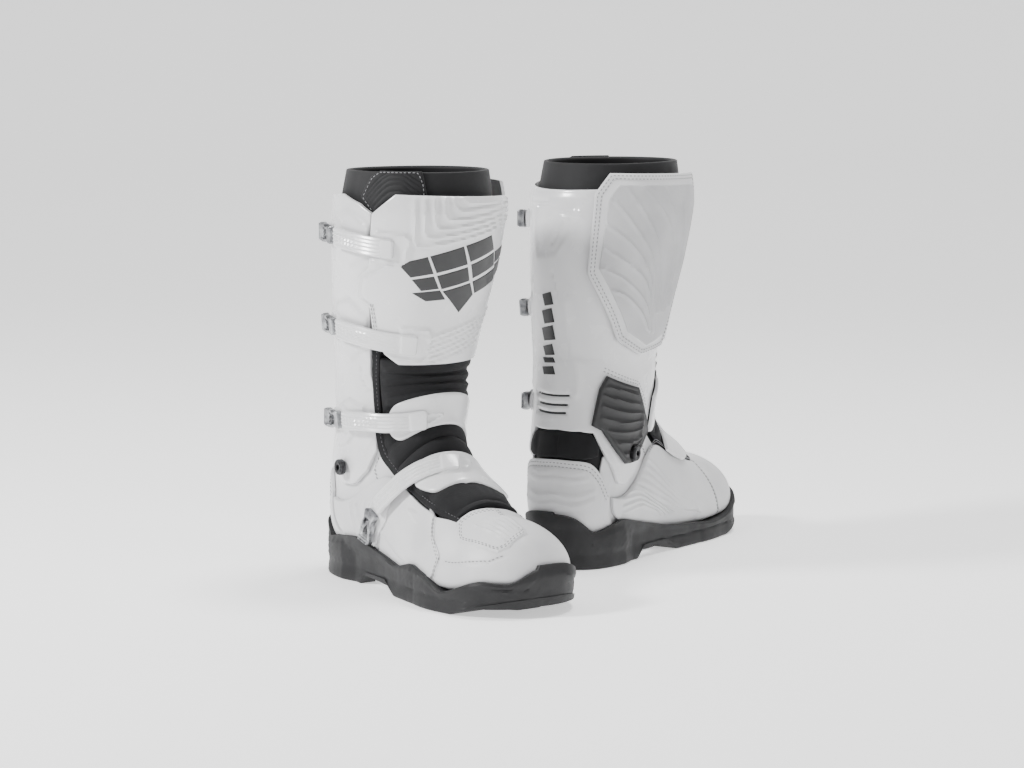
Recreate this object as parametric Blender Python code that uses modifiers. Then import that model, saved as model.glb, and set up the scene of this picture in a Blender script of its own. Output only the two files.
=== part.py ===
"""A pair of off-road riding boots, each a chain of shells around one lofted foot-and-calf form.

Each boot is designed on its own axes in millimetres: x forward from the back of the heel,
y to the wearer's left, z up from the ground.  The form is a fan of closed sections: level
rings up the calf, rings that turn about the point above the instep, then upright rings along
the foot.  A place on it is (s, phi): s is the station number counted down from the collar and
along to the toe, and phi is the angle round the section, 0 at the front or top, 180 at the back
or underneath, positive towards the wearer's left.  Shells are patches of the form with
thickness.  The left boot is the right one mirrored.
"""
import math

import bmesh
import bpy
import numpy as np
from mathutils import Matrix, Vector
from mathutils.bvhtree import BVHTree

MM = 0.001

# Placement of the pair: heel points and headings, in mm and degrees
RIGHT_HEEL = (-180.6, 8.7)
LEFT_HEEL = (10.4, -20.3)
RIGHT_HEADING = -54.8
LEFT_HEADING = 59.6

# The form: turning point of the fan, and one row per station
FAN_X = 200.0
FAN_Z = 200.0
COLLAR_Z = 388.0
TOE_TIP_X = 304.0
TOE_TIP_Z = 31.0
TOE_TIP_SWING = 7.0
TOE_STEPS = 5

# Layers, as distances out from the form
SKIN = 0.3
SHELL = 3.5
OVER = 5.6
GUARD_OFF = 6.0
PLATE = 3.2
TEXTILE = 2.6
LINER_OUT = -8.1
LINER = 4.0
BASE_OFF = 5.0
BASE = 2.4
STRAP_OFF = 10.2
STRAP = 2.8
LEVER_OFF = 9.2
LEVER = 5.0

# Ankle hinge
PIVOT_X = 67.0
PIVOT_Z = 108.0
SHANK_R = 5.0
HOLE_R = 5.7
HEAD_R = 7.5
HEAD_HOLE_R = 8.3
FLANGE_R = 6.8
PIVOT_FACE_Y = 48.2
PIVOT_STEPS = 14
DRILL_STEPS = 16
DRILL_LENGTH = 160.0

# Sole: wall of the tray, its lip and flare, heights of its floor and of the band where it is
# kept upright, and the sag of the underside
SOLE_WALL_IN = 5.7
SOLE_WALL = 4.0
SOLE_LIP = 2.4
SOLE_FLARE = 1.0
SOLE_FLOOR_Z = 14.0
SOLE_EDGE = 3.0
SOLE_WALL_LOW = 27.0
SOLE_TREAD_IN = 2.0
HEEL_END_X = 60.0
HEEL_WIDE_Z = 42.0
HEEL_FADE = 0.25
SOLE_MID = 0.55
ARCH = (88.0, 99.0, 140.0, 158.0)
ARCH_Z = 10.0
SPRING_X = 254.0
SPRING_Z = 15.0
SPRING_RUN = 8.0
SPINE = (46.0, 256.0)
SPINE_STEPS = 20
END_STEPS = 10
PROFILE_UNDER = 8
FORM_ROWS = 90
FORM_COLUMNS = 120
BEYOND_FOOT = 220.0

GLOSS_WHITE = ("gloss_white", (0.84, 0.84, 0.85), 0.22, 0.0)
MATT_WHITE = ("leather_white", (0.80, 0.80, 0.81), 0.45, 0.0)
BLACK_TEXTILE = ("textile_black", (0.015, 0.015, 0.017), 0.80, 0.0)
BLACK_RUBBER = ("rubber_black", (0.020, 0.020, 0.022), 0.55, 0.0)
ALUMINIUM = ("aluminium", (0.60, 0.61, 0.62), 0.28, 1.0)
STEEL_BLACK = ("steel_black", (0.05, 0.05, 0.05), 0.35, 1.0)


# ---------------------------------------------------------------- the form

def form_table():
    """Rows: centre x, z, direction of the section, front and back distance, half width,
    centre y, roundness of the front and of the back half, place of the widest point."""
    shaft = [
        # z, front x, back x, half width
        (COLLAR_Z, 191, 45, 67),
        (350, 195, 36, 71),
        (300, 184, 30, 67),
        (250, 167, 27, 60),
        (200, 152, 26, 53),
    ]
    rows = [(FAN_X, z, 180, FAN_X - front, FAN_X - back, half, 0, 2.0, 2.1, 0.5)
            for z, front, back, half in shaft]
    fan = [
        # direction, front, back, half width, roundness of the back half, widest
        (190, 47, 180, 51, 2.2, 0.50),
        (202, 48, 197, 49, 2.4, 0.50),
        (212, 53, 223, 47.5, 2.6, 0.52),
        (222, 60, 248, 45, 2.9, 0.56),
        (233, 69, 225, 45, 3.2, 0.62),
        (248, 80, 195, 46, 3.4, 0.72),
        (270, 97, 181, 52, 3.4, 0.82),
    ]
    rows += [(FAN_X, FAN_Z, a, front, back, half, 0, 2.0, nb, wide)
             for a, front, back, half, nb, wide in fan]
    foot = [
        # x, top z, underside z, half width, centre y
        (223, 90, 19, 54, 0),
        (246, 79, 20, 52, 1),
    ]
    rows += [(x, FAN_Z, 270, FAN_Z - top, FAN_Z - under, half, yc, 1.9, 3.4, 0.84)
             for x, top, under, half, yc in foot]
    x0, top0, under0, half0, yc0 = foot[-1]
    for k in range(1, TOE_STEPS + 1):
        turn = k / TOE_STEPS * math.pi / 2
        close = max(math.cos(turn) ** 0.85, 0.02)
        half = half0 * max(math.cos(turn) ** 0.8, 0.02)
        sweep = math.sin(turn)
        rows.append((x0 + (TOE_TIP_X - x0) * sweep, FAN_Z, 270,
                     FAN_Z - TOE_TIP_Z - (top0 - TOE_TIP_Z) * close,
                     FAN_Z - TOE_TIP_Z - (under0 - TOE_TIP_Z) * close,
                     half, yc0 + TOE_TIP_SWING * sweep, 1.9 + 0.1 * sweep,
                     3.4 - 1.2 * sweep, 0.84 - 0.3 * sweep ** 2))
    return np.array(rows, float)


FORM = form_table()


def follow(table, at):
    """Smooth run through the rows of a table, read at fractional row numbers, no overshoot."""
    table = np.asarray(table, float)
    last = len(table) - 1
    at = np.clip(np.asarray(at, float), 0, last - 1e-9)
    i = np.floor(at).astype(int)
    t = (at - i)[..., None]
    before, here = table[np.clip(i - 1, 0, last)], table[i]
    there, after = table[np.clip(i + 1, 0, last)], table[np.clip(i + 2, 0, last)]
    step = there - here
    slopes = []
    for slope in ((there - before) / 2, (after - here) / 2):
        limit = np.sign(step) * np.minimum(abs(slope), 3 * abs(step))
        slopes.append(np.where(slope * step <= 0, 0, limit))
    return ((2 * t**3 - 3 * t**2 + 1) * here + (t**3 - 2 * t**2 + t) * slopes[0]
            + (3 * t**2 - 2 * t**3) * there + (t**3 - t**2) * slopes[1])


def form(s, phi):
    """Point of the form at station s and angle phi."""
    row = follow(FORM, s)
    x0, z0, direction, front, back, half, yc, round_f, round_b, wide = np.moveaxis(row, -1, 0)
    angle, ph = np.radians(direction), np.radians(phi)
    c, sn = np.cos(ph), np.sin(ph)
    power = np.where(c > 0, round_f, round_b)
    reach = (abs(c) ** power + abs(sn) ** power) ** (-1 / power)
    middle = front + (back - front) * wide
    run = middle - np.where(c > 0, middle - front, back - middle) * c * reach
    return np.stack([x0 + np.cos(angle) * run, yc + half * sn * reach,
                     z0 + np.sin(angle) * run], -1)


def outward(s, phi, step=0.01):
    """Unit normal of the form, pointing out."""
    along = form(s + step, phi) - form(s - step, phi)
    around = form(s, phi + 1) - form(s, phi - 1)
    normal = np.cross(along, around)
    return normal / np.linalg.norm(normal, axis=-1, keepdims=True)


def place(s, phi, out=0.0):
    """Point at a distance out from the form."""
    s, phi = np.broadcast_arrays(np.asarray(s, float), np.asarray(phi, float))
    return form(s, phi) + outward(s, phi) * np.asarray(out, float)[..., None]


# ---------------------------------------------------------------- patches

def run_through(points, count, crisp):
    """Even samples of a list of (s, phi) control points, straight or smooth between them."""
    at = np.linspace(0, len(points) - 1, count)
    if crisp:
        table = np.asarray(points, float)
        return np.stack([np.interp(at, range(len(points)), column) for column in table.T], -1)
    return follow(points, at)


def patch(ribs, across, per_rib=2, crisp=False, start=None, end=None):
    """Grid of (s, phi) between the two rails that a list of ribs spans.

    A rib is (s, phi) on the first rail and (s, phi) on the second.  start and end bend the
    two outer ribs through more points."""
    ribs = np.asarray(ribs, float)
    count = per_rib * (len(ribs) - 1) + 1
    first = run_through(ribs[:, :2], count, crisp)[:, None]
    second = run_through(ribs[:, 2:], count, crisp)[:, None]
    v = np.linspace(0, 1, across + 1)[None, :, None]
    u = np.linspace(0, 1, count)[:, None, None]
    grid = first * (1 - v) + second * v
    for bent, weight, row in ((start, 1 - u, 0), (end, u, -1)):
        if bent:
            grid = grid + weight * (run_through(bent, across + 1, crisp)[None] - grid[row][None])
    return grid


def grid_faces(rows, columns, closed=False):
    """Quads of a grid of points, joined round in the second direction if closed."""
    faces = []
    for i in range(rows - 1):
        for j in range(columns if closed else columns - 1):
            k = (j + 1) % columns
            faces.append((i * columns + j, i * columns + k,
                          (i + 1) * columns + k, (i + 1) * columns + j))
    return faces


# ---------------------------------------------------------------- objects

def clear_scene():
    for obj in list(bpy.data.objects):
        bpy.data.objects.remove(obj, do_unlink=True)


def make_collection(name):
    found = bpy.data.collections.new(name)
    bpy.context.scene.collection.children.link(found)
    return found


def make_material(spec):
    name, colour, roughness, metallic = spec
    found = bpy.data.materials.get(name)
    if found:
        return found
    material = bpy.data.materials.new(name)
    material.use_nodes = True
    shader = material.node_tree.nodes["Principled BSDF"]
    shader.inputs["Base Color"].default_value = (*colour, 1.0)
    shader.inputs["Roughness"].default_value = roughness
    shader.inputs["Metallic"].default_value = metallic
    return material


class Boot:
    """One boot: its empties, and the sizes that its mirror image shares."""

    def __init__(self, side, heel, heading, collection, cutters):
        self.name = side
        self.sign = 1 if side == "right" else -1
        self.collection = collection
        self.cutters = cutters
        self.frames = {}
        turn = Matrix.Rotation(math.radians(heading), 4, "Z")
        spot = Matrix.Translation(Vector((heel[0], heel[1], 0)) * MM)
        self.add_empty("boot", None, spot @ turn)

    def add_empty(self, name, parent, matrix):
        """An empty whose matrix is given in the boot's own frame."""
        empty = bpy.data.objects.new(f"{self.name}_{name}_axis", None)
        empty.empty_display_size = 0.02
        self.collection.objects.link(empty)
        if parent is None:
            empty.matrix_world = matrix
            self.frames[name] = (empty, Matrix.Identity(4))
            return
        parent_empty, parent_matrix = self.frames[parent]
        empty.parent = parent_empty
        empty.matrix_local = parent_matrix.inverted() @ matrix
        self.frames[name] = (empty, matrix)

    def add_hinge(self, name, parent, point, axis):
        """An empty on a hinge: its z axis is the axis that opens the joint."""
        point = Vector((point[0], point[1] * self.sign, point[2])) * MM
        axis = Vector((axis[0], axis[1] * self.sign, axis[2])) * self.sign
        turn = Vector((0, 0, 1)).rotation_difference(axis.normalized())
        self.add_empty(name, parent, Matrix.Translation(point) @ turn.to_matrix().to_4x4())

    def add(self, name, points, faces, frame, spec, smooth=True):
        """An object from points in the boot's millimetres."""
        mirror = np.array([1, self.sign, 1])
        points = np.asarray(points, float).reshape(-1, 3) * mirror * MM
        if self.sign < 0:
            faces = [tuple(reversed(face)) for face in faces]
        empty, matrix = self.frames[frame]
        back = np.array(matrix.inverted())
        points = points @ back[:3, :3].T + back[:3, 3]
        mesh = bpy.data.meshes.new(f"{self.name}_{name}")
        mesh.from_pydata([tuple(p) for p in points], [], faces)
        mesh.update()
        if smooth:
            mesh.shade_smooth()
            mesh.set_sharp_from_angle(angle=math.radians(40))
        obj = bpy.data.objects.new(f"{self.name}_{name}", mesh)
        obj.parent = empty
        obj.data.materials.append(make_material(spec))
        self.collection.objects.link(obj)
        return obj

    def add_shell(self, name, grid, frame, spec, out=SKIN, thick=SHELL, closed=False):
        """A patch of the form made into a shell of even thickness, built outwards."""
        points = place(grid[..., 0], grid[..., 1], out)
        rows, columns = points.shape[:2]
        faces = grid_faces(rows, columns, closed)
        faces = self.face_out(points.reshape(-1, 3), faces, grid[0, 0])
        obj = self.add(name, points, faces, frame, spec)
        self.thicken(obj, thick)
        return obj

    def thicken(self, obj, thick):
        solid = obj.modifiers.new("thickness", "SOLIDIFY")
        solid.thickness = thick * MM
        solid.offset = 1.0

    @staticmethod
    def face_out(points, faces, at):
        """Turn the faces over if the first one, which starts at (s, phi), looks into the form."""
        a, b, c = (points[k] for k in faces[0][:3])
        if np.dot(np.cross(b - a, c - a), outward(*at)) < 0:
            faces = [tuple(reversed(face)) for face in faces]
        return faces


# ---------------------------------------------------------------- soft inside

LINER_TOP = 0.03
LINER_TOE = 16.4
LINER_ROWS = (8, 12, 9)
LINER_COLUMNS = 16
LINER_TIP = (TOE_TIP_X - 14, TOE_TIP_SWING, TOE_TIP_Z + 2)
FOOTBED_OFF = -12.8
FOOTBED = 2.6


def add_liner(boot):
    """Padded inner boot, open at the collar and closed at the toe."""
    shaft, heel, foot = LINER_ROWS
    s = np.concatenate([np.linspace(LINER_TOP, 5.2, shaft), np.linspace(5.8, 9.4, heel),
                        np.linspace(10.2, LINER_TOE, foot)])
    phi = np.arange(LINER_COLUMNS) * 360 / LINER_COLUMNS
    points = place(s[:, None], phi[None, :], LINER_OUT).reshape(-1, 3)
    faces = grid_faces(len(s), LINER_COLUMNS, closed=True)
    tip = len(points)
    points = np.vstack([points, LINER_TIP])
    base = tip - LINER_COLUMNS
    for j in range(LINER_COLUMNS):
        faces.append((base + j, base + (j + 1) % LINER_COLUMNS, tip))
    faces = boot.face_out(points, faces, (s[0], phi[0]))
    obj = boot.add("liner", points, faces, "boot", BLACK_TEXTILE)
    boot.thicken(obj, LINER)


def add_footbed(boot):
    """Moulded insole on the floor of the liner."""
    ribs = [(8.1, 203, 8.1, 157), (8.6, 210, 8.6, 150), (9.6, 214, 9.6, 146),
            (11.0, 216, 11.0, 144), (12.5, 218, 12.5, 142), (14.4, 214, 14.4, 146),
            (15.4, 205, 15.4, 155)]
    boot.add_shell("footbed", patch(ribs, 6), "boot", BLACK_TEXTILE, FOOTBED_OFF, FOOTBED)


def add_bellows(boot):
    """Flexible textile panels over the instep and behind the ankle."""
    front = [(3.85, -58, 3.85, 54), (5.5, -59, 5.5, 54), (7.6, -57, 7.6, 56),
             (9.4, -53, 9.4, 50), (10.7, -46, 10.7, 44), (12.0, -37, 12.15, 35)]
    boot.add_shell("front_bellows", patch(front, 8, 2), "boot", BLACK_TEXTILE, SKIN, TEXTILE)
    rear = [(6.42, -136, 6.6, -137), (6.1, -146, 6.52, -148), (5.98, -165, 6.42, -165),
            (5.98, -180, 6.4, -180), (5.98, -195, 6.42, -195), (6.1, -214, 6.52, -212),
            (6.42, -224, 6.6, -223)]
    boot.add_shell("rear_bellows", patch(rear, 2, 2), "boot", BLACK_TEXTILE, SKIN, TEXTILE)


# ---------------------------------------------------------------- foot shells

def add_toe_box(boot):
    rear = [(12.52, -148), (12.12, -103), (12.44, -73.5), (11.74, -59.5), (11.36, -46.5),
            (12.2, -37), (12.25, -20), (12.5, 5), (12.45, 36), (12.75, 62), (13.1, 100),
            (13.1, 148)]
    ribs = [(s, phi, 17.3, phi) for s, phi in rear]
    boot.add_shell("toe_box", patch(ribs, 6, 2, crisp=True), "boot", MATT_WHITE)


def add_foot_panels(boot):
    lateral = [(7.62, -119, 8.95, -127), (8.0, -105, 9.15, -150), (8.35, -86, 9.6, -150),
               (8.65, -70, 10.2, -150), (9.2, -58, 11.0, -150), (10.4, -51, 11.8, -150),
               (11.2, -46.5, 12.4, -148)]
    edge = [(11.2, -46.5), (11.6, -60), (12.3, -73), (12.0, -103), (12.4, -148)]
    boot.add_shell("lateral_foot_panel", patch(lateral, 6, 2, end=edge), "boot", MATT_WHITE)
    medial = [(7.78, 120, 8.95, 127), (8.25, 105, 9.15, 150), (8.5, 86, 9.6, 150),
              (8.65, 71, 10.2, 150), (9.3, 56, 11.1, 150), (10.8, 47, 12.1, 150),
              (12.3, 37, 12.97, 148)]
    edge = [(12.3, 37), (12.62, 62), (12.97, 100), (12.97, 148)]
    boot.add_shell("medial_foot_panel", patch(medial, 6, 2, end=edge), "boot", MATT_WHITE)


def add_heel_counter(boot):
    ribs = [(7.45, -121.5, 8.75, -130), (7.0, -130, 8.8, -146), (6.62, -148, 8.72, -163),
            (6.5, -180, 8.68, -180), (6.62, -212, 8.72, -197), (7.05, -227, 8.8, -214),
            (7.65, -237.5, 8.65, -229)]
    boot.add_shell("heel_counter", patch(ribs, 5, 2), "boot", MATT_WHITE)


# ---------------------------------------------------------------- sole

def sole_top(x, lateral):
    """Height of the wavy top edge of the sole along each side."""
    if lateral:
        wave = [(5, 56), (18, 50), (27, 36), (50, 41), (86, 45), (125, 37), (164, 29), (190, 36),
                (205, 33), (217, 30), (230, 24), (240, 18), (252, 21), (270, 29), (282, 33),
                (294, 31), (302, 31), (306, 42), (311, 47)]
    else:
        wave = [(5, 56), (12, 46), (20, 34), (55, 45), (100, 35), (142, 26), (220, 19), (246, 20),
                (264, 24), (282, 33), (298, 41), (305, 46), (311, 47)]
    xs, zs = zip(*wave)
    return np.interp(x, xs, zs)


def sole_under(x):
    """Height of the underside: heel, arch notch, tread and toe spring."""
    return float(np.interp(x, [*ARCH, SPRING_X, TOE_TIP_X + SPRING_RUN],
                           [0, ARCH_Z, ARCH_Z, 0, 0, SPRING_Z]))


def form_tree():
    """Search tree of the form pushed out to the inside of the sole wall."""
    s = np.linspace(6.5, 17.9, FORM_ROWS)
    phi = np.arange(FORM_COLUMNS) * 360 / FORM_COLUMNS
    points = place(s[:, None], phi[None, :], SOLE_WALL_IN).reshape(-1, 3)
    tip = len(points)
    points = np.vstack([points, [TOE_TIP_X + SOLE_WALL_IN, TOE_TIP_SWING, TOE_TIP_Z]])
    faces = grid_faces(FORM_ROWS, FORM_COLUMNS, closed=True)
    base = tip - FORM_COLUMNS
    faces += [(base + j, base + (j + 1) % FORM_COLUMNS, tip) for j in range(FORM_COLUMNS)]
    return BVHTree.FromPolygons([tuple(p) for p in points], faces)


def sole_rays():
    """Start point and direction, all round the foot from the back of the heel."""
    heel, toe = SPINE
    along = np.linspace(heel, toe, SPINE_STEPS + 1)
    left = [(x, 90.0) for x in along]
    right = [(x, -90.0) for x in along[::-1]]
    step = 180 / END_STEPS
    round_toe = [(toe, 90 - step * k) for k in range(1, END_STEPS)]
    round_heel = [(heel, -90 - step * k) for k in range(1, END_STEPS)]
    return left + round_toe + right + round_heel


def add_outsole(boot):
    """Rubber tray: floor, heel block, tread and the wall that wraps the upper."""
    tree = form_tree()
    rings = []
    for x, heading in sole_rays():
        ray = Vector((math.cos(math.radians(heading)), math.sin(math.radians(heading)), 0))
        spine = Vector((x, 0, 0))

        def wall(z):
            above = spine + Vector((0, 0, max(z, SOLE_WALL_LOW)))
            hit = tree.ray_cast(above + ray * BEYOND_FOOT, -ray)[0]
            return math.hypot(hit.x - x, hit.y)

        low = wall(SOLE_WALL_LOW)
        low = max(low, wall(HEEL_WIDE_Z) - 1 - max(x - HEEL_END_X, 0) * HEEL_FADE)
        rim = spine + ray * low
        top = sole_top(rim.x, rim.y < 0)
        mid = (top + SOLE_WALL_LOW) / 2 if top > SOLE_WALL_LOW + 2 else top - 1.5
        outer = low + SOLE_WALL
        profile = [(0, SOLE_FLOOR_Z), (low * SOLE_MID, SOLE_FLOOR_Z), (low, SOLE_FLOOR_Z),
                   (wall(mid), mid), (wall(top), top), (wall(top) + SOLE_LIP, top),
                   (wall(mid) + SOLE_WALL, mid), (outer, SOLE_FLOOR_Z),
                   (outer + SOLE_FLARE, SOLE_EDGE), (outer - SOLE_TREAD_IN, 0),
                   (low * SOLE_MID, 0), (0, 0)]
        ring = []
        for k, (distance, z) in enumerate(profile):
            point = spine + ray * distance
            if k >= PROFILE_UNDER:
                z += sole_under(point.x)
            ring.append((point.x, point.y, z))
        rings.append(ring)
    columns = len(rings[0])
    points = np.array(rings).reshape(-1, 3)
    faces = [(a, d, c, b) for a, b, c, d in grid_faces(len(rings) + 1, columns)]
    faces = [tuple(k % len(points) for k in face) for face in faces]
    obj = boot.add("outsole", points, faces, "boot", BLACK_RUBBER)
    weld(obj)


def weld(obj):
    """Join the points that lie on the spine of the sole, and drop the faces they flatten."""
    mesh = bmesh.new()
    mesh.from_mesh(obj.data)
    bmesh.ops.remove_doubles(mesh, verts=mesh.verts, dist=0.00005)
    bmesh.ops.dissolve_degenerate(mesh, edges=mesh.edges, dist=0.00001)
    bmesh.ops.recalc_face_normals(mesh, faces=mesh.faces)
    mesh.to_mesh(obj.data)
    mesh.free()


SHANK_SIZE = (ARCH[2] - ARCH[1] - 3, 78.0, ARCH_Z - 4.0)
SHANK_GAP = 1.4


def add_shank(boot):
    """Stiffening insert that shows in the arch notch."""
    corners = bmesh.new()
    bmesh.ops.create_cube(corners, size=1.0)
    centre = np.array([(ARCH[1] + ARCH[2]) / 2, 0, ARCH_Z - SHANK_GAP - SHANK_SIZE[2] / 2])
    points = [np.array(v.co) * SHANK_SIZE + centre for v in corners.verts]
    faces = [tuple(v.index for v in face.verts) for face in corners.faces]
    corners.free()
    obj = boot.add("shank_plate", points, faces, "boot", GLOSS_WHITE, smooth=False)
    bevel = obj.modifiers.new("edges", "BEVEL")
    bevel.width = 1.2 * MM
    bevel.segments = 2


# ---------------------------------------------------------------- cuff

def add_calf_shell(boot):
    ribs = [(1.0, -68.5, 7.7, -63), (0.82, -80, 8.05, -74), (0.66, -100, 8.0, -86),
            (0.70, -120, 7.6, -103), (0.74, -140, 7.15, -115), (0.76, -160, 5.92, -147),
            (0.76, -178, 5.85, -178), (0.74, -200, 5.9, -203), (0.7, -217, 6.0, -216),
            (0.7, -234, 7.0, -236), (0.7, -248, 7.65, -247), (0.7, -260, 7.98, -258),
            (0.75, -277, 8.1, -273), (0.95, -299, 7.6, -290)]
    front = [(0.95, -299), (3.5, -301), (5.7, -301), (6.6, -296), (7.6, -290)]
    shell = boot.add_shell("calf_shell", patch(ribs, 9, 1, crisp=True, end=front), "cuff",
                           GLOSS_WHITE)
    drill_pivot(boot, shell, HOLE_R, "pivot_drill")


def drill_pivot(boot, obj, radius, name):
    """Hole of a radius along the ankle's axis."""
    mesh = bmesh.new()
    bmesh.ops.create_cone(mesh, cap_ends=True, segments=DRILL_STEPS, radius1=radius,
                          radius2=radius, depth=DRILL_LENGTH)
    turn = Matrix.Rotation(math.pi / 2, 3, "X")
    points = [np.array(turn @ v.co) + (PIVOT_X, 0, PIVOT_Z) for v in mesh.verts]
    faces = [tuple(v.index for v in face.verts) for face in mesh.faces]
    mesh.free()
    drill = boot.add(name, points, faces, "cuff", STEEL_BLACK, smooth=False)
    boot.collection.objects.unlink(drill)
    boot.cutters.objects.link(drill)
    drill.hide_render = True
    drill.display_type = "WIRE"
    cut = obj.modifiers.new("pivot_holes", "BOOLEAN")
    cut.operation = "DIFFERENCE"
    cut.object = drill


def add_calf_guard(boot):
    ribs = [(0.4, 150, 0.45, 66), (0.85, 159.5, 1.0, 58), (2.35, 160, 2.2, 62),
            (3.55, 132, 3.3, 68), (3.86, 108, 3.72, 76)]
    boot.add_shell("calf_guard", patch(ribs, 7, 2, crisp=True), "cuff", MATT_WHITE,
                   GUARD_OFF, PLATE)


def add_ankle_guard(boot):
    ribs = [(4.6, 137, 5.2, 104), (4.95, 143, 5.9, 95), (5.8, 147, 6.7, 84), (5.98, 138, 7.25, 78),
            (7.24, 111, 7.6, 94)]
    guard = boot.add_shell("ankle_guard", patch(ribs, 5, 2, crisp=True), "cuff", BLACK_RUBBER,
                           OVER, PLATE)
    drill_pivot(boot, guard, HEAD_HOLE_R, "head_drill")


def add_ankle_band(boot):
    ribs = [(6.5, -51, 7.3, -50), (6.05, -47, 7.8, -46), (5.9, -36, 8.3, -38),
            (5.85, -15, 8.4, -15), (5.85, 15, 8.45, 12), (6.0, 45, 8.45, 36), (6.1, 60, 8.2, 56),
            (6.2, 71, 7.6, 70)]
    boot.add_shell("ankle_band", patch(ribs, 4, 2), "cuff", GLOSS_WHITE, OVER, PLATE)


def add_pivot(boot, side):
    """Shouldered rivet: flange inside, shank through the cuff, head outside."""
    profile = [(FLANGE_R, -3.8), (FLANGE_R, -2.5), (SHANK_R, -2.5), (SHANK_R, 7.2),
               (HEAD_R, 7.2), (HEAD_R, 8.8), (HEAD_R - 1.4, 10.0)]
    points = []
    for k in range(PIVOT_STEPS):
        turn = 2 * math.pi * k / PIVOT_STEPS
        for radius, height in profile:
            points.append((PIVOT_X + radius * math.cos(turn), side * (PIVOT_FACE_Y + height),
                           PIVOT_Z + radius * math.sin(turn)))
    columns = len(profile)
    faces = grid_faces(PIVOT_STEPS + 1, columns)
    faces = [tuple(k % len(points) for k in face) for face in faces]
    faces.append(tuple(k * columns for k in range(PIVOT_STEPS)))
    faces.append(tuple(k * columns + columns - 1 for k in reversed(range(PIVOT_STEPS))))
    name = "pivot_medial" if side > 0 else "pivot_lateral"
    obj = boot.add(name, points, faces, "boot", STEEL_BLACK)
    weld(obj)


# ---------------------------------------------------------------- shin plate

# Two points of the shin plate's hinge line along its medial edge, as (s, phi)
SHIN_HINGE = ((1.2, 57.0), (3.3, 65.0))


def add_shin_plate(boot):
    ribs = [(0.62, -50, 0.72, 50), (1.0, -66, 1.0, 54), (1.95, -67, 1.95, 56.5),
            (2.15, -76, 2.15, 57.5), (2.55, -77, 2.5, 59), (2.7, -65, 2.75, 61),
            (3.2, -62, 3.2, 63), (3.5, -52, 3.5, 65), (3.68, -40, 3.66, 58)]
    boot.add_shell("shin_plate", patch(ribs, 9, 1, crisp=True), "shin_flap", GLOSS_WHITE,
                   OVER, PLATE)


def add_instep_band(boot):
    ribs = [(9.85, -43, 10.25, -44), (9.67, -38, 10.5, -40), (9.75, -26, 10.8, -31),
            (9.92, -5, 11.05, -4), (10.0, 18, 11.4, 18), (9.98, 34, 11.35, 32),
            (9.9, 46, 11.0, 44), (9.95, 53, 10.7, 51)]
    boot.add_shell("instep_band", patch(ribs, 3, 2), "boot", GLOSS_WHITE, OVER, PLATE)


# ---------------------------------------------------------------- buckles

# Centre line of each strap from its socket to its lever, then the lever's own line, and half
# width.  The last entry is the frame that the socket end hinges on, and the lever base's frame.
STRAPS = [
    dict(line=[(1.60, -49), (1.56, -66), (1.50, -84), (1.46, -97)],
         lever=[(1.45, -100.5), (1.42, -119)], half=9.0, socket="shin_flap", base="cuff"),
    dict(line=[(3.32, -27), (3.28, -50), (3.2, -75), (3.14, -97)],
         lever=[(3.13, -101), (3.1, -121)], half=9.5, socket="shin_flap", base="cuff"),
    dict(line=[(7.75, -18), (6.95, -47), (6.3, -70), (5.88, -95)],
         lever=[(5.83, -99), (5.6, -122)], half=9.0, socket="cuff", base="cuff"),
    dict(line=[(10.45, -3), (10.15, -28), (9.78, -54), (9.46, -76)],
         lever=[(9.43, -80), (9.55, -108)], half=9.0, socket="boot", base="boot"),
]
LEVER_HALF = 8.5
STRAP_STEPS = 9
LEVER_STEPS = 3

# Buckle base: places along the lever's line, as shares of its length, with their half widths
BASE_PLACES = (1.12, 1.0, 0.45, 0.0, -0.5)
BASE_HALVES = (6.0, 8.5, 11.0, 15.5, 7.0)
BASE_STEPS = 8


def ribbon(line, half, low, thick, steps):
    """Flat band along a line on the form: points of its four long edges, ring by ring."""
    at = run_through(line, steps + 1, False)
    centre = place(at[:, 0], at[:, 1], low)
    normal = outward(at[:, 0], at[:, 1])
    run = np.gradient(centre, axis=0)
    side = np.cross(normal, run)
    side /= np.linalg.norm(side, axis=-1, keepdims=True)
    return bar(centre, side, half, normal * thick), side


def bar(centre, side, reach, up):
    """Rings of four corners along a flat bar."""
    return np.stack([centre - side * reach, centre + side * reach,
                     centre + side * reach + up, centre - side * reach + up], 1)


def add_band(boot, name, rings, frame, spec):
    """Closed bar through rings of four corners."""
    points = rings.reshape(-1, 3)
    count = len(rings)
    faces = grid_faces(count, 4, closed=True)
    faces += [(3, 2, 1, 0), tuple(4 * (count - 1) + k for k in range(4))]
    weld(boot.add(name, points, faces, frame, spec))


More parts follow.
